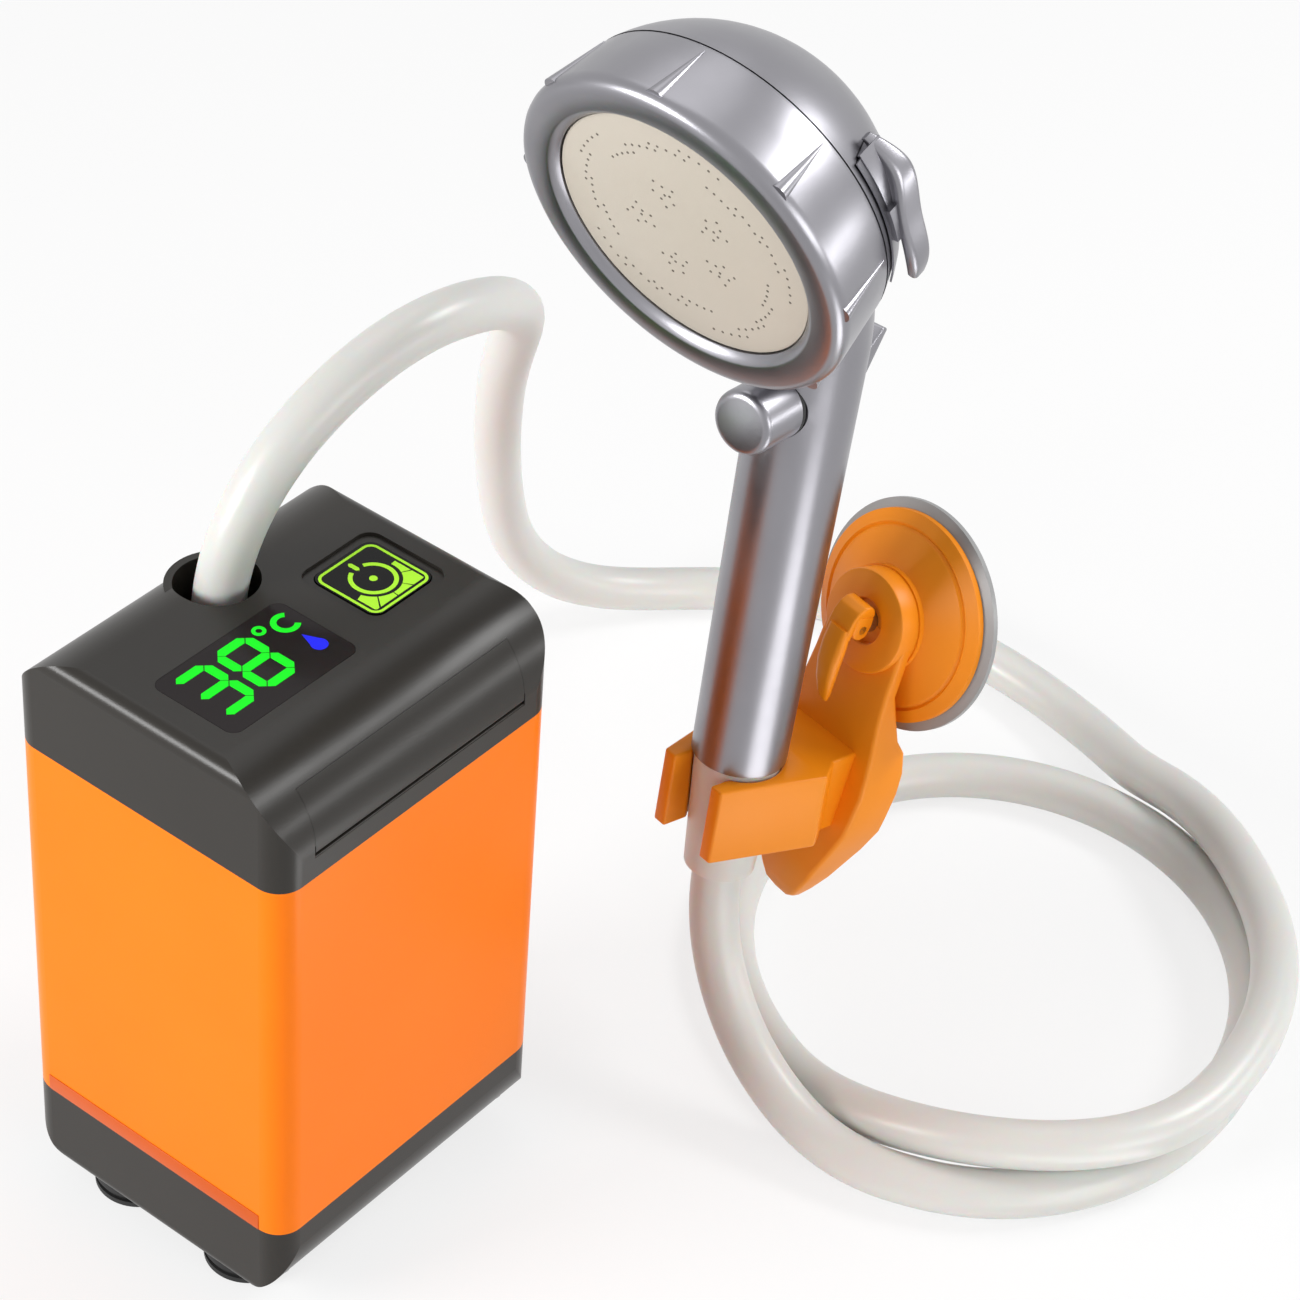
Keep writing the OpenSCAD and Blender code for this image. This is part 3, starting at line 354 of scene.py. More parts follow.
sleeve_orange = finish("sleeve_orange", srgb(252, 126, 8), srgb(248, 120, 5), 0.28, 0.34,
                       grain_scale=900, depth=0.00001, Specular_IOR_Level=0.12)
# A deeper orange that paints the shadow line along the foot of the sleeve's left side.
shade_line_orange = finish("shade_line_orange", srgb(206, 88, 10), srgb(198, 82, 8), 0.32, 0.4,
                      Specular_IOR_Level=0.3)
cover_grey = finish("cover_grey", srgb(44, 41, 37), srgb(39, 36, 32), 0.28, 0.33,
                    grain_scale=2500, depth=0.00002, Specular_IOR_Level=0.28)
foot_rubber = finish("foot_rubber", srgb(26, 26, 26), srgb(18, 18, 18), 0.55, 0.7)
lens_black = finish("lens_black", srgb(30, 21, 22), srgb(26, 18, 19), 0.1, 0.16, depth=0.000002,
                    Specular_IOR_Level=0.2)
button_black = finish("button_black", srgb(14, 13, 13), srgb(11, 10, 10), 0.14, 0.22, depth=0.000004,
                      Specular_IOR_Level=0.15)
print("materials so far:", len(bpy.data.materials))

# %% Hose, hand shower and holder finishes
hose_white = finish("hose_white", srgb(217, 218, 214), srgb(210, 211, 207), 0.3, 0.4, cloud_scale=12,
                    grain_scale=500, depth=0.00002, Subsurface_Weight=0.5, Subsurface_Scale=0.006)
silver_paint = finish("silver_paint", srgb(146, 145, 150), srgb(136, 135, 140), 0.28, 0.34,
                      cloud_scale=60, grain_scale=6000, depth=0.00001, Metallic=1.0)
plate_sand = finish("plate_sand", srgb(188, 180, 167), srgb(180, 171, 158), 0.4, 0.5)
holder_orange = finish("holder_orange", srgb(246, 146, 14), srgb(240, 139, 10), 0.36, 0.46,
                       Specular_IOR_Level=0.3)
cup_grey = finish("cup_grey", srgb(158, 158, 158), srgb(146, 146, 146), 0.3, 0.42)
# Painted shade for the nozzle holes of the spray plate.
nozzle_hole_shade = finish("nozzle_hole_shade", srgb(104, 96, 86), srgb(94, 86, 78), 0.5, 0.6)
print("materials so far:", len(bpy.data.materials))

# %% Inner finishes and lit signs
white_plastic = finish("white_plastic", srgb(232, 230, 225), srgb(224, 222, 216), 0.35, 0.45)
bare_steel = finish("bare_steel", srgb(190, 190, 192), srgb(170, 170, 172), 0.28, 0.34, Metallic=1.0)
cell_blue = finish("cell_blue", srgb(46, 92, 130), srgb(40, 84, 120), 0.3, 0.4)
board_green = finish("board_green", srgb(28, 92, 56), srgb(22, 80, 48), 0.3, 0.45, grain_scale=700)


def light_of(name, colour):
    material = finish(name, colour, colour, 0.4, 0.5, Specular_IOR_Level=0.02)
    shader = material.node_tree.nodes["Principled BSDF"]
    shader.inputs["Emission Color"].default_value = colour
    shader.inputs["Emission Strength"].default_value = 0.3
    return material


digit_green = light_of("digit_green", srgb(38, 245, 48))
icon_lime = light_of("icon_lime", srgb(176, 240, 64))
drop_blue = light_of("drop_blue", srgb(46, 50, 245))
print("materials:", len(bpy.data.materials))

# %% [markdown]
# ## Finishes on the solids
# Every solid but the hose's three gets the finish of the real piece, the hidden ones too, because
# the flap opens and the set may be taken apart. A few are replaced by finer shapes further on.

# %% Assign finishes
finish_of_node = {
    "body_sleeve": sleeve_orange, "display_lens": lens_black, "power_button": button_black,
    "spray_plate": plate_sand, "suction_cup": cup_grey, "battery_cells": cell_blue, "hose_nut": hose_white}
groups = (
    (cover_grey, "top_cover base_cap charge_flap outlet_fitting pump_chamber chamber_cover"),
    (foot_rubber, "feet cover_gasket bulkhead_gasket shaft_seal button_gasket hose_washer face_gasket"),
    (foot_rubber, "stop_seals button_switch battery_holder"),
    (white_plastic, "bulkhead impeller intake_filter outlet_pipe distributor selector_disc"),
    (bare_steel, "case_screws flap_pin motor_shaft motor_can inlet_screen temperature_probe"),
    (bare_steel, "cup_stem lever_pin charge_port"),
    (board_green, "display_board charge_board control_board"),
    (silver_paint, "handset_body face_ring selector_lever stop_button"),
    (holder_orange, "holder_arm cup_cover cam_lever"))
for material, names in groups:
    for name in names.split():
        finish_of_node[name] = material
for name, material in finish_of_node.items():
    mesh = nodes[name].data
    mesh.materials.clear()
    mesh.materials.append(material)
for hose in (hose_run, hose_tail):
    hose.data.materials.clear()
    hose.data.materials.append(hose_white)
print("solids with a finish:", len(finish_of_node))

# %% [markdown]
# ## Ways to build a piece
# The finer pieces are drawn in local millimetres with a few small tools. A lathe spins a profile of
# radius and depth round the Z axis. A loft joins cross-sections into one skin and closes its ends.
# Softening rounds the sharp edges. One function then moves the result into place, smooths it with its
# sharp edges kept, and says which body it rides on. Another does that for flat outlines, which get a
# little thickness.

# %% Shape tools
def lathe(bm, profile, steps=96):
    points = [bm.verts.new((r, 0, s)) for r, s in profile]
    lines = [bm.edges.new(pair) for pair in zip(points, points[1:])]
    bmesh.ops.spin(bm, geom=points + lines, cent=(0, 0, 0), axis=(0, 0, 1), angle=math.tau,
                   steps=steps, use_merge=True)
    bmesh.ops.remove_doubles(bm, verts=bm.verts, dist=0.001)


def loft(bm, loops):
    rings = []
    for loop in loops:
        corners = [bm.verts.new(p) for p in loop]
        rings.append([bm.edges.new(pair) for pair in zip(corners, corners[1:] + corners[:1])])
    for near, far in zip(rings, rings[1:]):
        bmesh.ops.bridge_loops(bm, edges=near + far)
    for end in (rings[0], rings[-1]):
        bmesh.ops.contextual_create(bm, geom=end)


def soften(bm, width, least=30):
    bmesh.ops.recalc_face_normals(bm, faces=bm.faces)
    sharp = [edge for edge in bm.edges if math.degrees(edge.calc_face_angle(0)) > least]
    bmesh.ops.bevel(bm, geom=sharp, offset=width, offset_type="OFFSET", segments=3, profile=0.5,
                    affect="EDGES", material=-1, clamp_overlap=True)


print("shape tools:", [tool.__name__ for tool in (lathe, loft, soften)])

# %% Outlines
def arc(x, y, radius, start, end, count):
    angles = [math.radians(start + (end - start) * i / count) for i in range(count + 1)]
    return [(x + radius * math.cos(a), y + radius * math.sin(a)) for a in angles]


def circle(x, y, radius, count=40):
    return arc(x, y, radius, 0, 360, count)[:-1]


def rounded(x, y, half_x, half_y, radius, count=8):
    outline = []
    for quarter, (sx, sy) in enumerate(((1, 1), (-1, 1), (-1, -1), (1, -1))):
        corner = (x + sx * (half_x - radius), y + sy * (half_y - radius))
        outline += arc(*corner, radius, 90 * quarter, 90 * quarter + 90, count)
    return outline


print("points in a circle:", len(circle(0, 0, 1)), "and in a rounded square:", len(rounded(0, 0, 2, 2, 1)))

# %% Pieces in place
def placed(name, mesh, body):
    made = bpy.data.objects.new(name, mesh)
    scene.collection.objects.link(made)
    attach(made, body)
    print(name + ":", len(mesh.polygons), "faces")
    return made


def piece(name, bm, into, body, material, sharp=35):
    bmesh.ops.recalc_face_normals(bm, faces=bm.faces)
    mesh = bpy.data.meshes.new(name)
    bm.to_mesh(mesh)
    bm.free()
    mesh.transform(into)
    mesh.materials.append(material)
    mesh.shade_smooth()
    mesh.set_sharp_from_angle(angle=math.radians(sharp))
    return placed(name, mesh, body)


def flat_shape(name, outlines, thick, into, body, material):
    curve = bpy.data.curves.new(name, "CURVE")
    curve.dimensions = "2D"
    curve.fill_mode = "BOTH"
    curve.extrude = thick / 2
    for outline in outlines:
        path = curve.splines.new("POLY")
        path.points.add(len(outline) - 1)
        path.use_cyclic_u = True
        for point, (x, y) in zip(path.points, outline):
            point.co = (x, y, 0, 1)
    mesh = drawn_mesh(name, curve)
    mesh.transform(into)
    mesh.materials.clear()
    mesh.materials.append(material)
    return placed(name, mesh, body)


# %% [markdown]
# ## Face of the hand shower
# The face ring is turned from one profile: a cone that slopes to the spray plate, a flat front band,
# a rounded rim and a wall that narrows to the seam with the dome. Eight tapering ribs lie on the
# wall, thick at the rim and pointed at the seam, for wet fingers to hold.

# %% Face ring
ring_profile = [(34, 2.5), (34, 1.3), (34.3, 0.8), (35.7, -0.6), (36.3, -0.8), (41.2, -0.8), (42.2, -0.6),
                (43.1, 0), (43.7, 0.9), (44, 2.1), (43.9, 3.2), (42.8, 11), (41.7, 18.9), (41.4, 19.7),
                (40.8, 19.9), (39, 19.9), (39, 2.5), (34, 2.5)]
RIBS = 8
RIB_LENGTH = 17
RIB_AT = (42.3, 0, 9.7)
RIB_LEAN = -3
RIB_FOOT = 2.4
RIB_TIP = 0.15
bm = bmesh.new()
lathe(bm, ring_profile, 128)
for i in range(RIBS):
    rib_place = turned(360 / RIBS * i, "Z") @ moved(*RIB_AT) @ turned(RIB_LEAN, "Y")
    bmesh.ops.create_cone(bm, cap_ends=True, segments=20, radius1=RIB_FOOT, radius2=RIB_TIP,
                          depth=RIB_LENGTH, matrix=rib_place)
face_ring = piece("face_ring_turned", bm, head_frame, "shower", silver_paint, 30)
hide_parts("face_ring")

# %% [markdown]
# The spray plate is a flat disc with a small round edge. Its nozzle holes are not cut; they are small
# dots of painted shade: short rows of five, by turns nearer to and further from the rim, and five
# clusters round the middle.

# %% Spray plate
PLATE_FRONT = 1.5
plate_profile = [(0, PLATE_FRONT), (33, PLATE_FRONT), (33.6, 1.7), (33.8, 2.2), (33.8, 2.6), (38.6, 2.6),
                 (38.6, 3.9), (0, 3.9)]
bm = bmesh.new()
lathe(bm, plate_profile)
spray_face = piece("spray_face", bm, head_frame, "shower", plate_sand)
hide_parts("spray_plate")

# %% Nozzles, as dots of painted shade
NOZZLE_R = 0.36
ROW_REACHES = (23, 25.2, 26.8, 29)
ROWS = 20
ROW_STEP = 5.2
CLUSTERS = 5
CLUSTER_REACH = 11.5
CLUSTER_START = 20
CLUSTER_SIZE = 9
GOLDEN_TURN = 137.5
CLUSTER_SPREAD = 1.45


def round_at(x, y, reach, degrees):
    angle = math.radians(degrees)
    return (x + reach * math.cos(angle), y + reach * math.sin(angle))


nozzles = []
for row in range(ROWS):
    for k in range(-2, 3):
        nozzles.append(round_at(0, 0, ROW_REACHES[row % 4], 360 / ROWS * row + ROW_STEP * k))
for cluster in range(CLUSTERS):
    middle = round_at(0, 0, CLUSTER_REACH, 360 / CLUSTERS * cluster + CLUSTER_START)
    for k in range(CLUSTER_SIZE):
        nozzles.append(round_at(*middle, CLUSTER_SPREAD * math.sqrt(k), GOLDEN_TURN * k + 60 * cluster))
flat_shape("spray_hole_shade", [circle(x, y, NOZZLE_R, 8) for x, y in nozzles], 0.1,
           head_frame @ moved(0, 0, PLATE_FRONT), "shower", nozzle_hole_shade)
print("nozzles:", len(nozzles))

# %% [markdown]
# ## Stop button and selector
# The stop button is turned with a round front edge and carries a small blade behind the handle. A
# dark ring at the handle's lower end is painted shade: it stands for the shadow in the gap between
# handle and nut. The selector is a thumb paddle with an S shape: cross-sections of radius and depth,
# given at a few angles round the head, are smoothed by the same spline as the hose and lofted. A
# block carries it, on a thin skirt that lies close over the dome and covers the slot. A short arm and
# a stem carry the turn inside.

# %% Stop button
STOP_UP = 105.5
BLADE_W = 8
button_frame = shower_frame @ moved(0, 0, STOP_UP) @ turned(-90, "Y")
button_profile = [(0, 26), (6.2, 26), (7.1, 25.8), (7.8, 25.3), (8.1, 24.7), (8.2, 24), (8.2, 12.4),
                  (6.55, 12.4), (6.55, 10.6), (8.2, 10.6), (8.2, 8.9), (6.55, 8.9), (6.55, 7.1), (8.2, 7.1),
                  (8.2, 4), (3, 4), (3, -15.5), (0, -15.5)]
blade = [(14, -3), (19, -3), (26, 9), (24, 10), (14, 2)]
bm = bmesh.new()
loft(bm, [[(z, y, -x) for x, z in blade] for y in (-BLADE_W / 2, BLADE_W / 2)])
soften(bm, 0.5, 20)
lathe(bm, button_profile, 72)
stop = piece("stop_turned", bm, button_frame, "stop_button", silver_paint)
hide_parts("stop_button")

# %% Handle shade ring
# A thin dark ring of painted shade, where the shadow of the gap between handle and nut falls.
shade_ring_profile = [(10.2, -0.35), (11.7, -0.35), (11.9, -0.1), (11.9, 0.1), (11.7, 0.35), (10.2, 0.35),
               (10.2, -0.35)]
bm = bmesh.new()
lathe(bm, shade_ring_profile, 72)
piece("handle_shade_ring", bm, shower_frame, "shower", foot_rubber)

# %% Selector
LEVER_ANGLE = -98
RING_BACK = 20
DOME_R = 43.7
DOME_MIDDLE = 6.3
DOME_GAP = 0.3
CUT_STEPS = 5
ARM_ANGLES = (-6, -2, 2, 6)
STEM_IN = 31
cuts = ((-28, 38.6, 40.2, 8, 10.5), (-21, 38.8, 42.2, 8, 12.5), (-14, 39.4, 44.2, 7.5, 14),
        (-6, 40.4, 43.8, 5.5, 12.5), (2, 41, 43.6, 4.5, 11), (10, 41.8, 45.2, 4, 10.5),
        (17, 42.6, 46.2, 4, 10), (22, 43.2, 45.8, 4.6, 8.6))


def head_point(angle, radius, depth):
    turn_by = math.radians(LEVER_ANGLE + angle)
    return (radius * math.cos(turn_by), radius * math.sin(turn_by), depth)


def sector(bm, angles, radii, depths):
    outline = [(radii[0], depths[0]), (radii[1], depths[0]), (radii[1], depths[1]), (radii[0], depths[1])]
    loft(bm, [[head_point(angle, r, s) for r, s in outline] for angle in angles])


def over_dome(bm, angles, depths, thick, least=0):
    inner = [(math.sqrt(DOME_R ** 2 - (s - DOME_MIDDLE) ** 2) + DOME_GAP, s) for s in depths]
    outer = [(max(r + thick, least), s) for r, s in reversed(inner)]
    loft(bm, [[head_point(angle, r, s) for r, s in inner + outer] for angle in angles])


sides = spline([Vector(cut[:3]) for cut in cuts], CUT_STEPS)
edges = spline([Vector(cut[3:] + (0,)) for cut in cuts], CUT_STEPS)
bm = bmesh.new()
loops = []
for (angle, near, far), (low, high, _) in zip(sides, edges):
    half = (far - near) / 2
    middle = ((near + far) / 2, RING_BACK + (low + high) / 2)
    outline = rounded(*middle, half, (high - low) / 2, half * 0.8, 5)
    loops.append([head_point(angle, r, s) for r, s in outline])
loft(bm, loops)
over_dome(bm, angles=range(-25, 26, 5), depths=range(22, 29), thick=0.5)
over_dome(bm, angles=range(-26, 5, 3), depths=range(24, 32), thick=0.8, least=41)
sector(bm, ARM_ANGLES, radii=(STEM_IN, 42.4), depths=(23, 27))
sector(bm, ARM_ANGLES, radii=(STEM_IN, 35), depths=(11.3, 24))
selector = piece("selector_paddle", bm, head_frame, "selector", silver_paint, 40)
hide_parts("selector_lever")

# %% [markdown]
# ## Holder
# The holder is one orange moulding: a round boss on the suction cup, a spade-shaped tongue that hangs
# from it, and a wedge-shaped clip that grips the nut. The tongue is lofted from its top to its tip,
# with the width and both faces given at each height. The clip is an outline in plan, given at two
# heights because its hole narrows with the nut. Boss and clip are joined into the tongue's mesh.

# %% Holder tongue and boss
BOSS_BACK = 11
BOSS_FRONT = 17
BOSS_R = 13.5
BOSS_BORE = 3.1
TONGUE_EDGE = 1.2


def join(bm, part, into):
    bmesh.ops.transform(part, matrix=into, verts=part.verts)
    mesh = bpy.data.meshes.new("part")
    part.to_mesh(mesh)
    part.free()
    bm.from_mesh(mesh)
    bpy.data.meshes.remove(mesh)


tongue_sections = (
    (0, 13.4, -15, -11), (-15.3, 13.9, -15, -11), (-23.5, 14.6, -15, -7.4), (-28.6, 15.5, -15, -5.4),
    (-32, 16.2, -15, -2.4), (-38, 17, -15, -0.9), (-44, 17.5, -15, -0.9), (-51.5, 17, -15, -0.9),
    (-56, 16.5, -15, -0.9), (-63, 14.2, -15, -2.2), (-70, 11.5, -15, -4.3), (-74, 10, -14.6, -5.6),
    (-79, 7.4, -13.4, -7.2), (-82, 5.5, -12.5, -8.4), (-84, 2.6, -10.6, -9.2))
bm = bmesh.new()
loops = []
for z, half, front, back in tongue_sections:
    thick = back - front
    radius = min(TONGUE_EDGE, half / 2, thick / 2.2)
    outline = rounded((front + back) / 2, 0, thick / 2, half, radius, 4)
    loops.append([(x, y, z) for x, y in outline])
loft(bm, loops)
boss_profile = [(BOSS_BORE, BOSS_BACK), (BOSS_R, BOSS_BACK), (BOSS_R, 16.2), (13.3, 16.7),
                (12.8, BOSS_FRONT), (6.2, BOSS_FRONT), (5.9, 16.7), (5.8, 14.8), (BOSS_BORE, 14.8),
                (BOSS_BORE, BOSS_BACK)]
round_part = bmesh.new()
lathe(round_part, boss_profile, 72)
join(bm, round_part, turned(-90, "Y"))
bmesh.ops.transform(bm, matrix=cup_frame, verts=bm.verts)
print("tongue and boss:", len(bm.faces), "faces")

# %% Holder clip
CLIP_MOUTH = 7
clip_cuts = ((-23.5, 10.2), (-1.5, 11.55))
clip_frame = shower_frame @ turned(CUP_TURN, "Z")


def clip_outline(z, hole):
    half = [(-15, CLIP_MOUTH), (-15, 11.1), (14, 18.6), (20, 14), (30, 14)]
    inside = math.degrees(math.asin(CLIP_MOUTH / hole))
    ring = arc(0, 0, hole, 180 + inside, 540 - inside, 40)
    outline = half + [(x, -y) for x, y in reversed(half)] + ring
    return [(x, y, z) for x, y in outline]


clip_part = bmesh.new()
loft(clip_part, [clip_outline(z, hole) for z, hole in clip_cuts])
soften(clip_part, 0.7, 25)
join(bm, clip_part, clip_frame)
holder = piece("holder_moulding", bm, Matrix.Identity(4), "pump", holder_orange, 32)
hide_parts("holder_arm")

# %% [markdown]
# The cam lever is a small hood over the stem's eye with a cheek on each side, and a tapering finger
# that hangs from it.

# %% Cam lever
PIN_OUT = 20.9
pin_frame = cup_frame @ moved(-PIN_OUT, 0, 0)
hood = [(2.6, 3.5), (2.6, 4.7), (1.8, 6), (0.4, 6.7), (-1.6, 6.5), (-3.4, 5.2), (-4.6, 3), (-5.2, 0),
        (-5.4, -3), (-3.4, -3), (-3, 0), (-2.9, 2.6), (-2, 3.5)]
cheek = [(2.6, 3.7), (2.8, 1), (2, -2.2), (0, -3.1), (-2.2, -2.4), (-3.2, -1), (-3.2, 3.7)]
finger = ((-4.6, -0.6, 0, 3.2, 1.4), (-5, -0.9, -5, 3.6, 1.8), (-5, -1.1, -10, 3.4, 1.85),
          (-4.3, -1.3, -15, 2.8, 1.6), (-3, -1.4, -19.5, 1.9, 1.2), (-2.2, -1.5, -21.5, 1, 0.7))
bm = bmesh.new()
for outline, start, end in ((hood, -4, 3.6), (cheek, -4, -2.4), (cheek, 2.4, 3.6)):
    loft(bm, [[(x, y, z) for x, z in outline] for y in (start, end)])
soften(bm, 0.45, 25)
loops = []
for x, y, z, half_y, half_x in finger:
    loops.append([(u, v, z) for u, v in rounded(x, y, half_x, half_y, half_x * 0.9, 4)])
loft(bm, loops)
lever = piece("lever_moulding", bm, pin_frame, "cam_lever", holder_orange, 40)
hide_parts("cam_lever")

# %% [markdown]
# ## Sleeve shade line and flap surround
# A thin strip in a deeper orange runs along the foot of the sleeve's left side. It is painted shade,
# standing in for a shadow line along that foot. Under the charge flap's hinge lies a small sill, which
# leaves the flap just room to swing down. A thin surround follows the rounded edge along the flap's
# sides and top and leaves only a hairline open.

# %% Sleeve shade line and flap sill
PUMP_W = 95
PUMP_D = 85


def slat(name, middle, sizes, edge, material):
    bm = bmesh.new()
    bmesh.ops.create_cube(bm, size=1, matrix=moved(*middle) @ Matrix.Diagonal((*sizes, 1)))
    soften(bm, edge)
    return piece(name, bm, pump_frame, "pump", material)


# A thin slat of painted shade: the dark line along the foot of the sleeve's left side.
slat("sleeve_shade_line", middle=(-PUMP_W / 2, 0.2, 34.4), sizes=(0.5, 71, 4.7), edge=0.12,
     material=shade_line_orange)
slat("flap_sill", middle=(0, 0.75 - PUMP_D / 2, 150.2), sizes=(72.4, 1.3, 0.42), edge=0.1,
     material=cover_grey)

# %% Flap surround
COVER_TOP = 173
EDGE_R = 21
EDGE_CENTRE = (EDGE_R - PUMP_D / 2, COVER_TOP - EDGE_R)
FLAP_HALF = 36
FLAP_THICK = 2.2
HAIRLINE = 0.07
GAP_END = 0.29
SIDE_SPAN = (134.1, 176)
TOP_SPAN = (134.02, 134.8)


def edge_strip(bm, ends, start, end, count):
    outside = arc(*EDGE_CENTRE, EDGE_R, start, end, count)
    inside = arc(*EDGE_CENTRE, EDGE_R - FLAP_THICK, end, start, count)
    loft(bm, [[(x, y, z) for y, z in outside + inside] for x in ends])


bm = bmesh.new()
for side in (-1, 1):
    edge_strip(bm, (side * (FLAP_HALF + HAIRLINE), side * (FLAP_HALF + GAP_END)), *SIDE_SPAN, 24)
edge_strip(bm, (-FLAP_HALF - GAP_END, FLAP_HALF + GAP_END), *TOP_SPAN, 2)
piece("flap_surround", bm, pump_frame, "pump", cover_grey)

# %% [markdown]
# ## Display
# The window in the cover shows lit seven-segment digits with a degree sign, a letter C and a small
# drop. Such flat shapes are quickest as a filled 2D curve with a little thickness: outlines go in,
# holes are cut by themselves, and the curve is made a mesh before it is set in place.

# %% Digits
DIGIT_W = 9.2
DIGIT_H = 15.6
DIGIT_LOW = -12.6
DIGIT_LEFTS = (-33.4, -19.9)
DEGREE_AT = (-6.7, 2.4)
LETTER_AT = (-0.3, 0)
DROP_AT = (-0.7, -10.9)
DROP_TIP = (-0.9, -5.6)
STROKE = 2.5
STROKE_GAP = 0.18
SIGN_T = 0.08
SEGMENTS = {"top": ((0, 2), (1, 2)), "middle": ((0, 1), (1, 1)), "bottom": ((0, 0), (1, 0)),
            "left low": ((0, 0), (0, 1)), "left high": ((0, 1), (0, 2)),
            "right low": ((1, 0), (1, 1)), "right high": ((1, 1), (1, 2))}
three = ("top", "middle", "bottom", "right low", "right high")


def bar(start, end, width):
    a = Vector(start)
    b = Vector(end)
    along = (b - a).normalized() * width / 2
    side = Vector((-along.y, along.x))
    points = (a, a + along + side, b - along + side, b, b - along - side, a + along - side)
    return [tuple(p) for p in points]


def digit(left, names):
    strokes = []
    for name in names:
        ends = [Vector((left + DIGIT_W * i, DIGIT_LOW + DIGIT_H / 2 * j)) for i, j in SEGMENTS[name]]
        gap = (ends[1] - ends[0]).normalized() * STROKE_GAP
        strokes.append(bar(ends[0] + gap, ends[1] - gap, STROKE))
    return strokes


def broad_arc(x, y, outer, inner, start, end):
    return arc(x, y, outer, start, end, 30) + arc(x, y, inner, end, start, 30)


marks = digit(DIGIT_LEFTS[0], three) + digit(DIGIT_LEFTS[1], SEGMENTS)
marks += [circle(*DEGREE_AT, 1.75), circle(*DEGREE_AT, 0.8), broad_arc(*LETTER_AT, 3.6, 2.1, 48, 312)]
on_cover = pump_frame @ moved(0, 0, COVER_TOP + SIGN_T / 2)
flat_shape("display_digits", marks, SIGN_T, on_cover, "pump", digit_green)
drop = arc(*DROP_AT, 2.1, 140, 400, 30) + [DROP_TIP]
flat_shape("display_drop", [drop], SIGN_T, on_cover, "pump", drop_blue)
print("display strokes:", len(marks))

# %% [markdown]
# ## Power button
# The button carries a lit line round its edge, a power sign with a dot in it, and a broken band
# round its front half. They ride on the button, so they sink with it when it is pressed.

# %% Button lights
BUTTON = (26.3, -3.3)
BAND_IN = 7
BAND_OUT = 8.4
BAND_STEPS = 12
BAND_STARTS = range(196, 333, 34)
LINE_OUT = 9.9
LINE_IN = 9.2


def band_piece(start, end):
    inner = arc(*BUTTON, BAND_IN, end, start, BAND_STEPS)
    outer = []
    for x, y in arc(0, 0, 1, start, end, BAND_STEPS):
        reach = BAND_OUT / max(abs(x), abs(y))
        outer.append((BUTTON[0] + reach * x, BUTTON[1] + reach * y))
    return outer + inner


lights = [rounded(*BUTTON, LINE_OUT, LINE_OUT, 2.6), rounded(*BUTTON, LINE_IN, LINE_IN, 2)]
lights.append(circle(*BUTTON, 1))
lights.append(broad_arc(*BUTTON, 6, 4.9, 112, 428))
lights.append(bar((BUTTON[0], BUTTON[1] + 4.4), (BUTTON[0], BUTTON[1] + 8), 1.2))
lights += [band_piece(start + 1.5, start + 33) for start in BAND_STARTS]
button_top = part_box("power_button")[1].z * 1000
on_button = pump_frame @ moved(0, 0, button_top + SIGN_T / 2)
flat_shape("button_lights", lights, SIGN_T, on_button, "power_button", icon_lime)
print("button lights:", len(lights))

# %% [markdown]
# ## Floor and light
# The set stands on a plain white floor. A low soft lamp behind on the left makes the pump's left side
# the bright one and draws a light line along that edge of the cover. One on the right draws the same
# line along the rounded front edge, a weak one fills the front and another the back. Two weak lamps
# count only in reflections: a flat one on the floor draws the stripe on the handle, and a low one on
# the right draws a second, softer band on the charge flap. The world is a dim even fill, and shows
# as white wherever the camera or a reflection looks past the floor.

# %% Floor
FLOOR_R = 4
WHITE_SHARE = 0.75
WHITE = (1, 1, 1, 1)
PAPER = (0.9, 0.9, 0.9, 1)


def seen_by(tree, kinds):
    rays = tree.nodes.new("ShaderNodeLightPath")
    seen = rays.outputs[kinds[0]]
    for kind in kinds[1:]:
        either = tree.nodes.new("ShaderNodeMath")
        either.operation = "MAXIMUM"
        tree.links.new(seen, either.inputs[0])
        tree.links.new(rays.outputs[kind], either.inputs[1])
        seen = either.outputs[0]
    return seen


floor_mesh = bpy.data.meshes.new("floor")
bm = bmesh.new()
bmesh.ops.create_circle(bm, cap_ends=True, segments=96, radius=FLOOR_R)
bm.to_mesh(floor_mesh)
bm.free()
floor = bpy.data.objects.new("floor", floor_mesh)
scene.collection.objects.link(floor)
paper = bpy.data.materials.new("floor_paper")
paper.use_nodes = True
tree = paper.node_tree
tree.nodes.clear()
matt = tree.nodes.new("ShaderNodeBsdfDiffuse")
matt.inputs["Color"].default_value = PAPER
white = tree.nodes.new("ShaderNodeEmission")
white.inputs["Color"].default_value = WHITE
share = tree.nodes.new("ShaderNodeMath")
share.operation = "MULTIPLY"
share.inputs[1].default_value = WHITE_SHARE
mixed = tree.nodes.new("ShaderNodeMixShader")
output = tree.nodes.new("ShaderNodeOutputMaterial")
tree.links.new(seen_by(tree, ("Is Camera Ray", "Is Glossy Ray")), share.inputs[0])
tree.links.new(share.outputs[0], mixed.inputs[0])
tree.links.new(matt.outputs[0], mixed.inputs[1])
tree.links.new(white.outputs[0], mixed.inputs[2])
tree.links.new(mixed.outputs[0], output.inputs["Surface"])
floor_mesh.materials.append(paper)
print("floor radius:", FLOOR_R, "m")

# %% Lamps
GLEAM_AT = (-0.012, -0.246, 0.004)


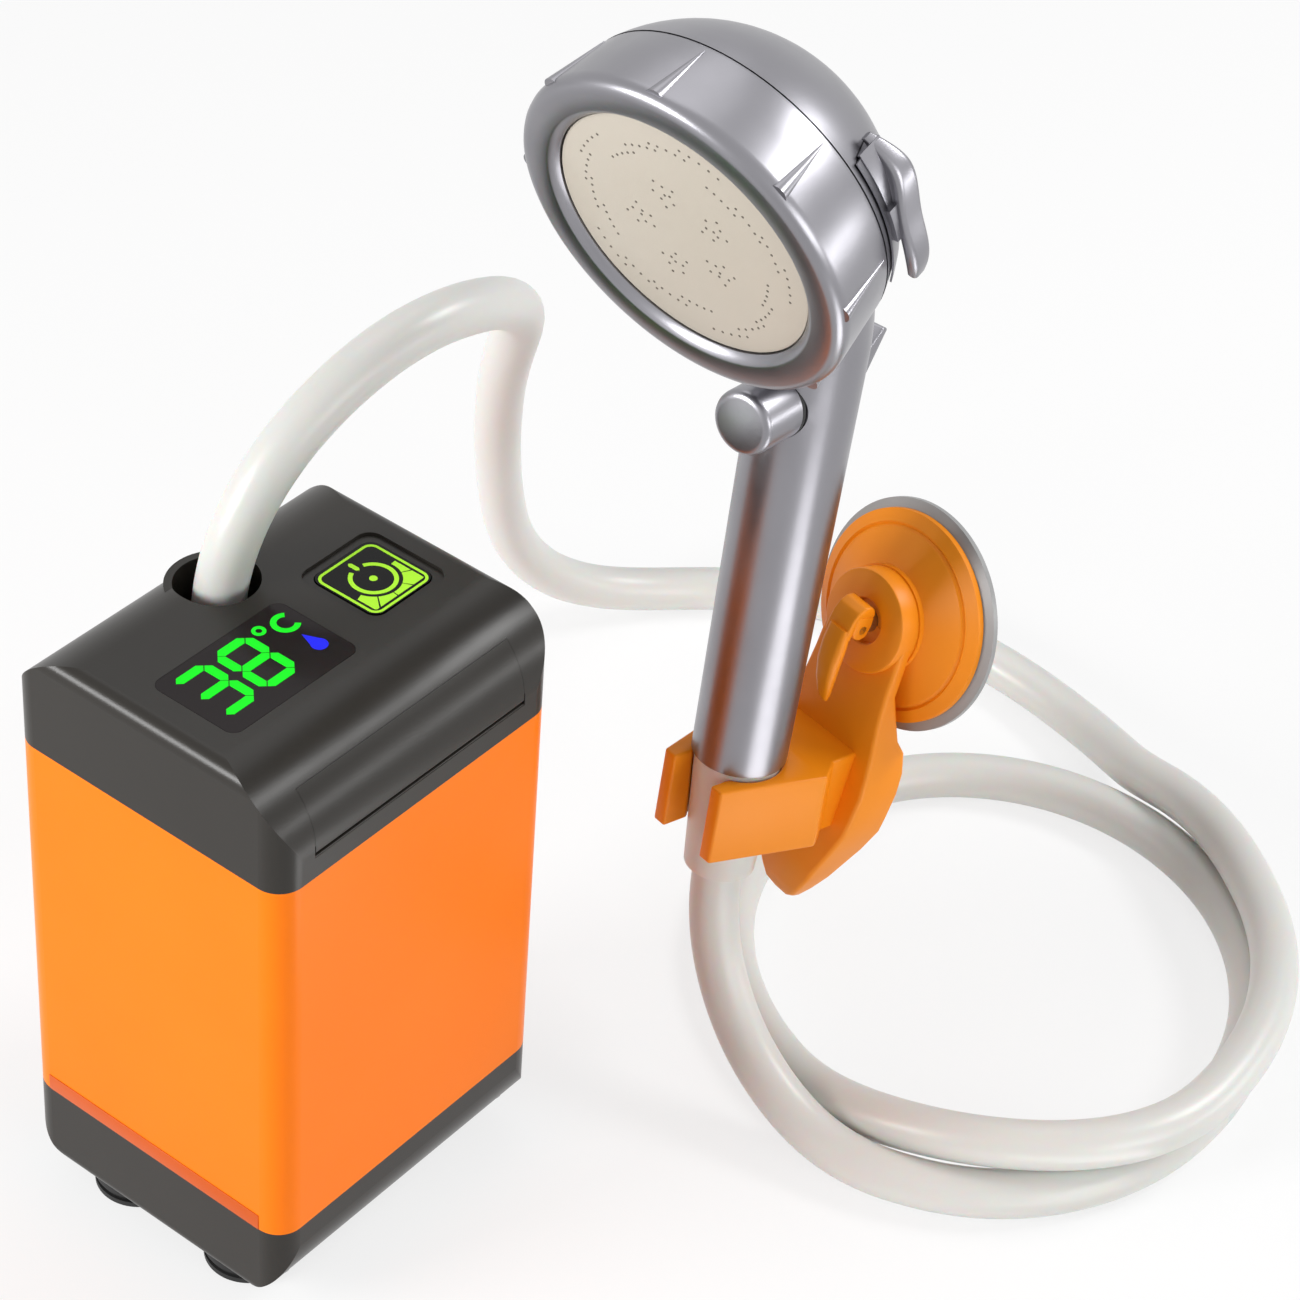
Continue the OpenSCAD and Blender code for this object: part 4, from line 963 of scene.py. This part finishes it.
def soft_lamp(name, at, aim, size, power):
    data = bpy.data.lights.new(name, "AREA")
    data.shape = "RECTANGLE"
    data.size = size[0]
    data.size_y = size[1]
    data.energy = power
    lamp = bpy.data.objects.new(name, data)
    way = Vector(aim) - Vector(at)
    lamp.matrix_world = Matrix.Translation(at) @ way.to_track_quat("-Z", "Y").to_matrix().to_4x4()
    lamp.visible_camera = False
    scene.collection.objects.link(lamp)
    return lamp


soft_lamp("lamp_left", (-1.3, 0.7, 0.62), (-0.05, 0, 0.12), (0.7, 0.5), 22)
soft_lamp("lamp_right", (0.94, -0.69, 1.15), (0, 0, 0.12), (0.6, 0.35), 11)
soft_lamp("lamp_front", (-0.2, -1.6, 0.5), (0, 0, 0.1), (0.9, 0.7), 9)
soft_lamp("lamp_top", (0.5, 0.5, 1.5), (0, 0, 0.1), (1.0, 1.0), 3)
gleam = soft_lamp("lamp_gleam", GLEAM_AT, (0, 0, 1), (0.21, 0.13), 0.28)
gleam.matrix_world = Matrix.Translation(GLEAM_AT) @ turned(-105, "Z") @ turned(180, "X")
gleam.visible_diffuse = False
low = soft_lamp("lamp_low", (0.7, -0.97, 0.2), (-0.058, -0.01, 0.16), (0.6, 0.13), 2.2)
low.visible_diffuse = False
print("lamps:", len(bpy.data.lights))

# %% World
FILL = 0.3
world = bpy.data.worlds.new("studio")
scene.world = world
world.use_nodes = True
tree = world.node_tree
tree.nodes.clear()
fill = tree.nodes.new("ShaderNodeBackground")
fill.inputs["Color"].default_value = WHITE
fill.inputs["Strength"].default_value = FILL
backdrop = tree.nodes.new("ShaderNodeBackground")
backdrop.inputs["Color"].default_value = WHITE
backdrop.inputs["Strength"].default_value = 1
mixed = tree.nodes.new("ShaderNodeMixShader")
output = tree.nodes.new("ShaderNodeOutputWorld")
seen = seen_by(tree, ("Is Camera Ray", "Is Glossy Ray", "Is Transmission Ray"))
tree.links.new(seen, mixed.inputs[0])
tree.links.new(fill.outputs[0], mixed.inputs[1])
tree.links.new(backdrop.outputs[0], mixed.inputs[2])
tree.links.new(mixed.outputs[0], output.inputs["Surface"])
scene.view_settings.view_transform = "Standard"
print("fill light:", FILL)

# %% [markdown]
# ## Size
# Dressing the set must not change its size. The last line brings the scene up to date.

# %% Size
bpy.context.view_layer.update()
